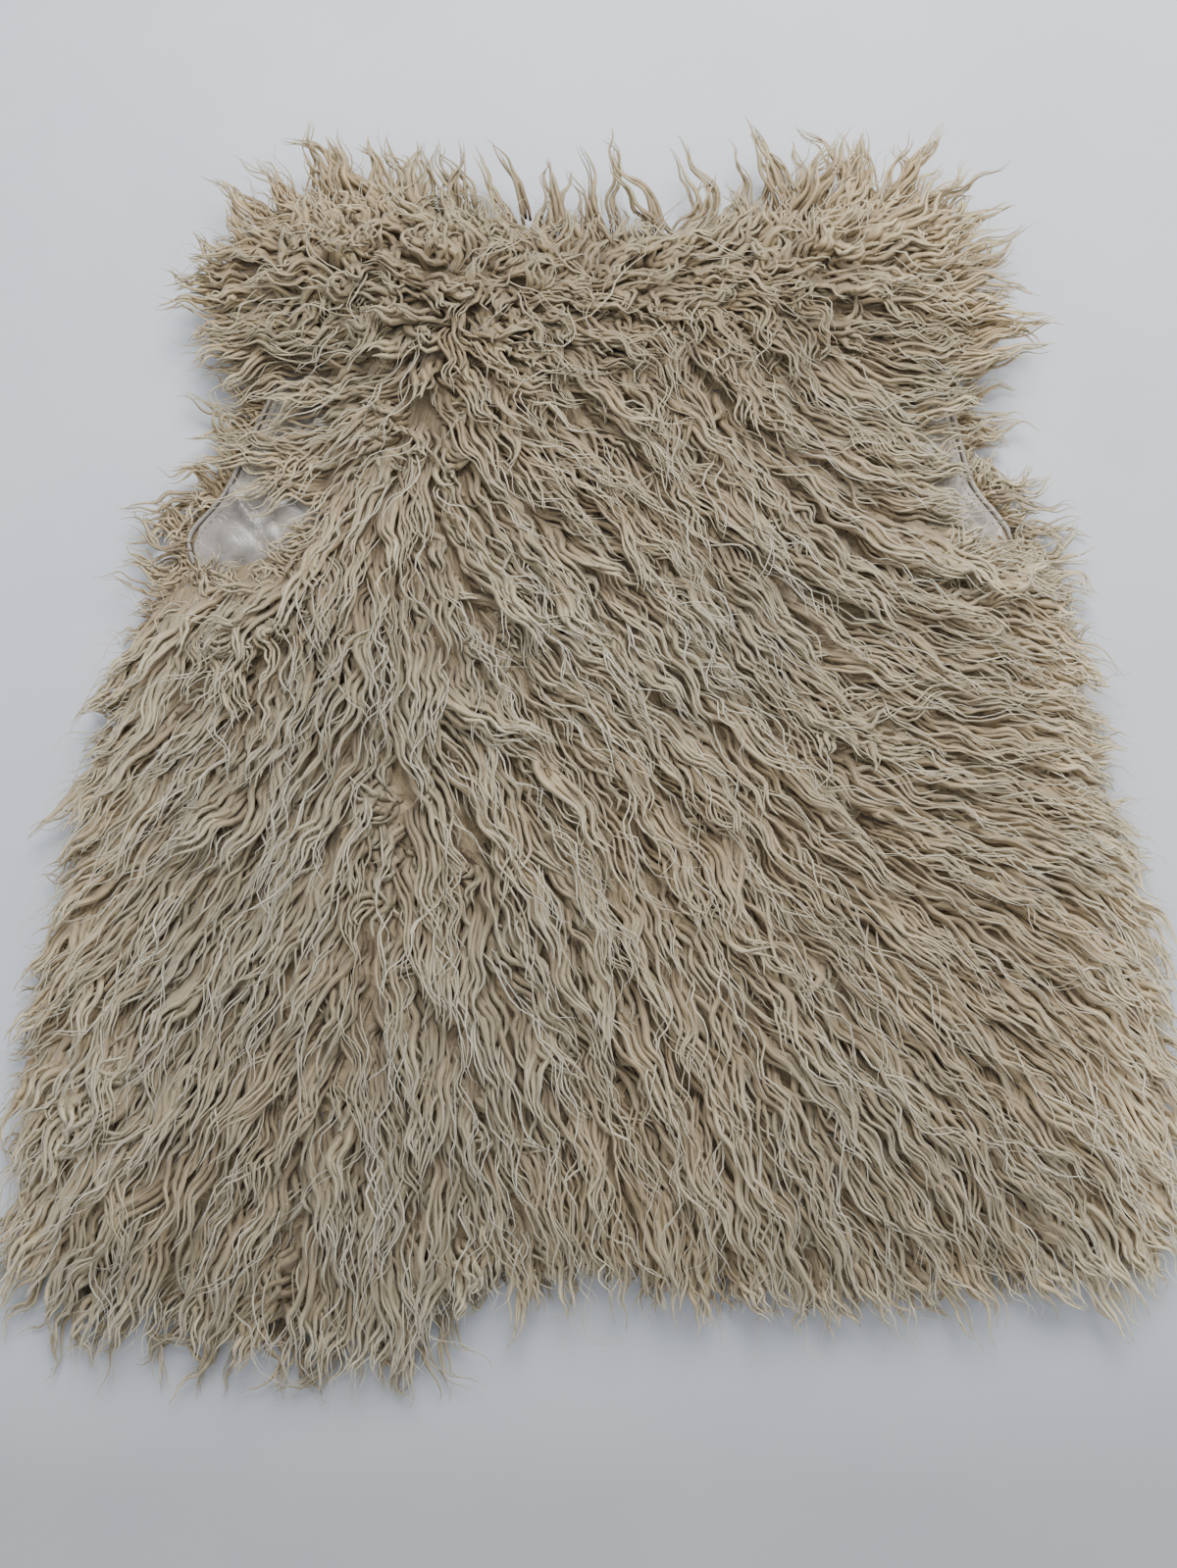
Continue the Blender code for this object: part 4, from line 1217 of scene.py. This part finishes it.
x, y, heading, length, curl, past_rim = np.hstack([random_wisps, placed])
count = len(x)
lines = middle_lines(
    x, y, heading, length, chance.uniform(0.16, 0.46, count), chance.uniform(0.02, 0.12, count),
    curl, chance, past_rim,
)
walks = part_bunches(
    lines, RANDOM_LOCKS, 2.8, chance.uniform(0.85, 1.0, count), 3.0,
    chance.uniform(4, 20, count), 0.12, pile_ground, 18, chance, 0.4,
)
number = np.repeat([RANDOM_LOCKS, PLACED_LOCKS], [random_wisps.shape[1], len(PLACED_WISPS)])
pick = np.arange(RANDOM_LOCKS)[None] < number[:, None]
radius = chance.uniform(0.8, 1.9, pick.shape)
# The place adds painted light and shade to the wisps' tone.
tone = np.clip(chance.uniform(0.6, 1.4, pick.shape) + 0.6 * painted_light_by_place(x, y)[:, None], 0, 1.9)
back_locks.append((walks[pick], radius[pick], tone[pick]))
print("wisps:", count, "bunches")

# %% [markdown]
# Where the fur parts, locks lie away from the parting on both sides and leave it bald.
# Rather than hunt for such places by eye, the ground that the locks cover is added up on
# the chart, and short curls are grown where it comes out thin.

# %% Curls on the thin places
def nearest(places, marks):
    """Number of the chart mark that lies nearest to each place."""
    return np.clip(np.round((places - marks[0]) / CHART_STEP).astype(int), 0, len(marks) - 1)


def cover_chart():
    """Share of the ground that locks cover: their widths times their steps, per square."""
    cover = np.zeros((len(CHART_Y), len(CHART_X)))
    for walks, radius, _ in back_locks:
        step = np.linalg.norm(np.diff(walks[..., :2], axis=1), axis=2)
        middle = (walks[:, 1:, :2] + walks[:, :-1, :2]) / 2
        square = nearest(middle[..., 1], CHART_Y), nearest(middle[..., 0], CHART_X)
        np.add.at(cover, square, 1.6 * radius[:, None] * step / CHART_STEP**2)
    for axis in (0, 1):
        cover = sum(np.roll(cover, shift, axis) for shift in (-1, 0, 1)) / 3
    return cover


THIN_COVER = 1.3
cover = cover_chart()
x, y, chance = spread_roots(12.0, 9.0, 61)
thin = read_chart(cover, x, y) < THIN_COVER * chance.uniform(0.8, 1.2, len(x))
x, y = x[thin], y[thin]
count = len(x)
heading, tangle = bunch_headings(x, y, chance)
lines = middle_lines(
    x, y, heading + chance.normal(0, 0.9, count), chance.uniform(24, 44, count),
    chance.uniform(0.3, 0.7, count), chance.uniform(0.1, 0.4, count),
    chance.normal(0, 1.5, count), chance, chance.uniform(0, 10, count),
)
walks = part_bunches(
    lines, 3, 4.0, chance.uniform(0.3, 0.8, count), 3.0, chance.uniform(2, 9, count), 0.2,
    pile_ground, 12, chance, 1.3,
)
radius, tone = chance.uniform(1.4, 2.8, count * 3), chance.uniform(0.1, 0.7, count * 3)
back_locks.append((walks.reshape(-1, 12, 3), radius, tone))
spread = np.percentile(cover[BACK_EDGE > 12], (1, 5, 25, 50))
print("thin places:", count, "bunches; cover", np.round(spread, 2))

# %% [markdown]
# The locks are now parted into pieces by zone.  Those whose tips pass the rim make up the
# fringe, whose pieces stand for the solids' root strips with their coarse locks.

# %% Pieces of the back's fur
REPLACED = {
    "fringe_hem": "hem_locks",
    "fringe_left": "side_locks_left",
    "fringe_right": "side_locks_right",
    "fringe_shoulder_left": "shoulder_locks_left",
    "fringe_shoulder_right": "shoulder_locks_right",
    "fringe_neck": "neck_locks",
}
for stations in (12, 18):
    chosen = [locks for locks in back_locks if locks[0].shape[1] == stations]
    walks, radius, tones = (np.concatenate(part) for part in zip(*chosen))
    zones = zone_of(walks)
    for number, zone in enumerate(sorted(set(zones))):
        own = zones == zone
        name = str(zone) + ("_under" if stations == 12 else "")
        piece = grow(name, walks[own], radius[own], tones[own], FUR, stations * 10 + number)
        if name in REPLACED:
            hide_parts(REPLACED[name])

# %% [markdown]
# The fronts lie underneath, fur side down.  Only the locks at their edges show: outside
# the armholes, where they ring the satin, and as a low second fringe under the hem and
# the sides.  They grow from the fronts' outlines and keep close to the table.

# %% The fronts' fringe
FRONT_FRINGE = {
    # spacing, inset, locks, stray of heading, shortest and longest, heights
    "armhole": (2.6, 1.5, 4, 0.55, 16, 60, (1, 13)),
    "low": (6.0, 3.0, 3, 0.24, 34, 56, (0, 6)),
}
for side, sign in (("left", -1), ("right", 1)):
    chance = np.random.default_rng(40 + sign)
    for part, (spacing, inset, per, stray, short, long, heights) in FRONT_FRINGE.items():
        spot, outward = edge_roots(FRONT_BORDERS[side], spacing, inset, chance)
        armhole = (spot[:, 1] > 60) & (spot[:, 1] < 200) & (spot[:, 0] * sign > 130)
        hem = spot[:, 1] < FRONT_BORDERS[side][:, 1].min() + 12
        under = ((spot[:, 0] * sign > 24) | hem) & (spot[:, 1] < 80) & ~armhole
        chosen = armhole if part == "armhole" else under
        sx, sy = spot[chosen].T
        count = len(sx)
        heading = between(outward[chosen], sx, sy, 0.7) + chance.normal(0, stray, count)
        left_hem = (sy < -250) & (sx < -84)
        length = short + (long - short) * chance.uniform(0, 1, count) ** 1.6
        length = length + np.where(left_hem, 24, 0)
        past_rim = chance.uniform(4, 24, count) + np.where(left_hem, 32, 0)
        past_rim = past_rim + (60 if part == "armhole" else 0)
        lines = middle_lines(
            sx, sy, heading, length, chance.uniform(0.3, 0.7, count),
            chance.uniform(0.15, 0.4, count), chance.normal(0, 0.5 + stray, count), chance,
            past_rim,
        )
        walks = part_bunches(
            lines, per, 2.2, chance.uniform(0.5, 1.0, count), 3.0,
            chance.uniform(*heights, count), chance.uniform(0.04, 0.12, count),
            table_ground, 12, chance,
        ).reshape(-1, 12, 3)
        # Painted light: the armhole fringe is paler, and the place adds painted light and shade.
        tones = chance.uniform(0.3, 1.1, len(walks)) + (0.4 if part == "armhole" else 0)
        tones = np.clip(tones + 0.7 * np.repeat(painted_light_by_place(sx, sy), per), 0, 1.9)
        radius = chance.uniform(0.6, 1.5, len(walks))
        piece = grow(f"fringe_{part}_{side}", walks, radius, tones, FUR, 60 + sign)
        if part == "armhole":
            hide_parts(f"armhole_locks_{side}")

# %% [markdown]
# On top lie single pale locks, thinner and straighter than the rest, that wander across
# them and stand off at the rim.  They give the fur its light, frosted look.  Finer hairs
# still, one by one, fly away from the rim everywhere but at the armholes.

# %% Fine pale locks
x, y, chance = spread_roots(7.0, 22.0, 77)
heading, tangle = bunch_headings(x, y, chance)
count = len(x)
lines = middle_lines(
    x, y, heading + chance.normal(0, 0.18, count), chance.uniform(60, 108, count),
    chance.uniform(0.25, 0.65, count), chance.uniform(0.05, 0.25, count),
    chance.normal(0, 0.6, count) * (0.4 + tangle), chance, reach_past_rim(x, y, chance) * 1.15,
)
walks = part_bunches(
    lines, 2, 3.0, chance.uniform(0.2, 1.0, count), 4.0,
    pile_room(x, y) * chance.uniform(0.8, 1.2, count) + 3, np.where(y > 215, 0.10, 0.26),
    pile_ground, 12, chance,
).reshape(-1, 12, 3)
# The place adds painted light and shade to the pale locks' tone.
hairs = grow(
    "pale_locks", walks, chance.uniform(0.28, 0.75, len(walks)),
    chance.uniform(0.3, 1, len(walks)) + 0.6 * np.repeat(painted_light_by_place(x, y), 2), PALE_HAIR, 9,
)

chance = np.random.default_rng(17)
spot, outward = edge_roots(BACK_BORDER, 5.4, 12.0, chance)
armhole = (np.abs(spot[:, 0]) > 120) & (spot[:, 1] > 50) & (spot[:, 1] < 205)
spot, outward = spot[~armhole], outward[~armhole]
x, y = spot.T
count = len(x)
lines = middle_lines(
    x, y, between(outward, x, y, 0.8) + chance.normal(0, 0.45, count),
    chance.uniform(46, 96, count),
    chance.uniform(0.3, 0.8, count), chance.uniform(0.05, 0.2, count),
    chance.normal(0, 1.1, count), chance,
    chance.uniform(6, 44, count) * np.where(np.abs(x) > 165, 0.7, 1.0),
)
walks = part_bunches(
    lines, 1, 1.0, 0.2, 3.0, chance.uniform(1, 12, count), 0.2, pile_ground, 12, chance,
).reshape(-1, 12, 3)
flyaways = grow(
    "flyaway_hairs", walks, chance.uniform(0.22, 0.42, count), chance.uniform(0.4, 1.1, count),
    PALE_HAIR, 10,
)
print("triangles of fur:", sum(TOTAL))

# %% [markdown]
# The vest lies on a pale table.  The floor is a plain plane with a faint grain and a band
# of painted shadow near the viewer.  The light is a broad soft panel toward the neck, two
# weaker ones at the right and over the viewer, and a pale sky.

# %% Table and light
def table_material():
    """Pale matt table: faint clouds, a very fine grain, and a soft painted shadow near the
    viewer.
    """
    material, shader, feed, add, ramp = new_material("pale_table")
    place = add("TexCoord", {})["Object"]
    clouds = add("TexNoise", {"Vector": place, "Scale": 9.0, "Detail": 4.0})["Fac"]
    colour = ramp(clouds, [(0.35, (0.600, 0.625, 0.660)), (0.65, (0.635, 0.655, 0.685))])
    # Painted shadow: the table's colour dims in a band near the viewer.
    upward = add("SeparateXYZ", {"Vector": place})["Y"]
    shifted = add("MapRange", {"Value": upward, "From Min": -1.6, "From Max": 0.4})["Result"]
    pale, painted_shadow_tone = (0.94, 0.94, 0.94), (0.66, 0.64, 0.625)
    painted_shade = ramp(shifted, [(0.25, pale), (0.56, painted_shadow_tone), (0.60, painted_shadow_tone), (0.67, pale)])
    with_painted_shadow = add("VectorMath", {0: colour, 1: painted_shade}, operation="MULTIPLY")["Vector"]
    grain = add("TexNoise", {"Vector": place, "Scale": 900.0, "Detail": 2.0})["Fac"]
    bump = add("Bump", {"Height": grain, "Strength": 0.15, "Distance": 0.0005})["Normal"]
    feed(shader, {"Base Color": with_painted_shadow, "Normal": bump, "Roughness": 0.7})
    return material


bpy.ops.mesh.primitive_plane_add(size=6.0, location=(0, 0, 0))
floor = bpy.context.object
floor.name = "table_top"
floor.data.materials.append(table_material())


def panel_light(name, place, aim, size, power, colour):
    """A square area light at a place, turned to face its aim."""
    data = bpy.data.lights.new(name, "AREA")
    data.size = size
    data.energy = power
    data.color = colour
    lamp = bpy.data.objects.new(name, data)
    lamp.location = place
    away = np.array(place, float) - np.array(aim, float)
    flat = math.hypot(away[0], away[1])
    lamp.rotation_euler = (math.atan2(flat, away[2]), 0, math.atan2(away[0], -away[1]))
    bpy.context.collection.objects.link(lamp)


panel_light("window", (0.15, 1.05, 1.15), (0, 0, 0), 0.9, 35, (0.97, 0.98, 1.0))
panel_light("side_window", (1.30, 0.30, 0.45), (0.2, 0, 0), 0.6, 4, (1.0, 0.99, 0.97))
panel_light("room", (-0.6, -0.9, 1.9), (0, 0, 0), 1.6, 8, (1.0, 0.98, 0.96))
world = bpy.data.worlds.new("pale_sky")
world.use_nodes = True
sky = world.node_tree.nodes["Background"].inputs
sky["Color"].default_value = (0.80, 0.86, 0.95, 1)
sky["Strength"].default_value = 0.70
bpy.context.scene.world = world

# %% [markdown]
# Last, for each side, the front's border is taken up and the lining's border is read from
# its solid.

# %% Borders of the fronts and linings
for side in ("left", "right"):
    border = FRONT_BORDERS[side]
    border = underside_border(f"lining_{side}")
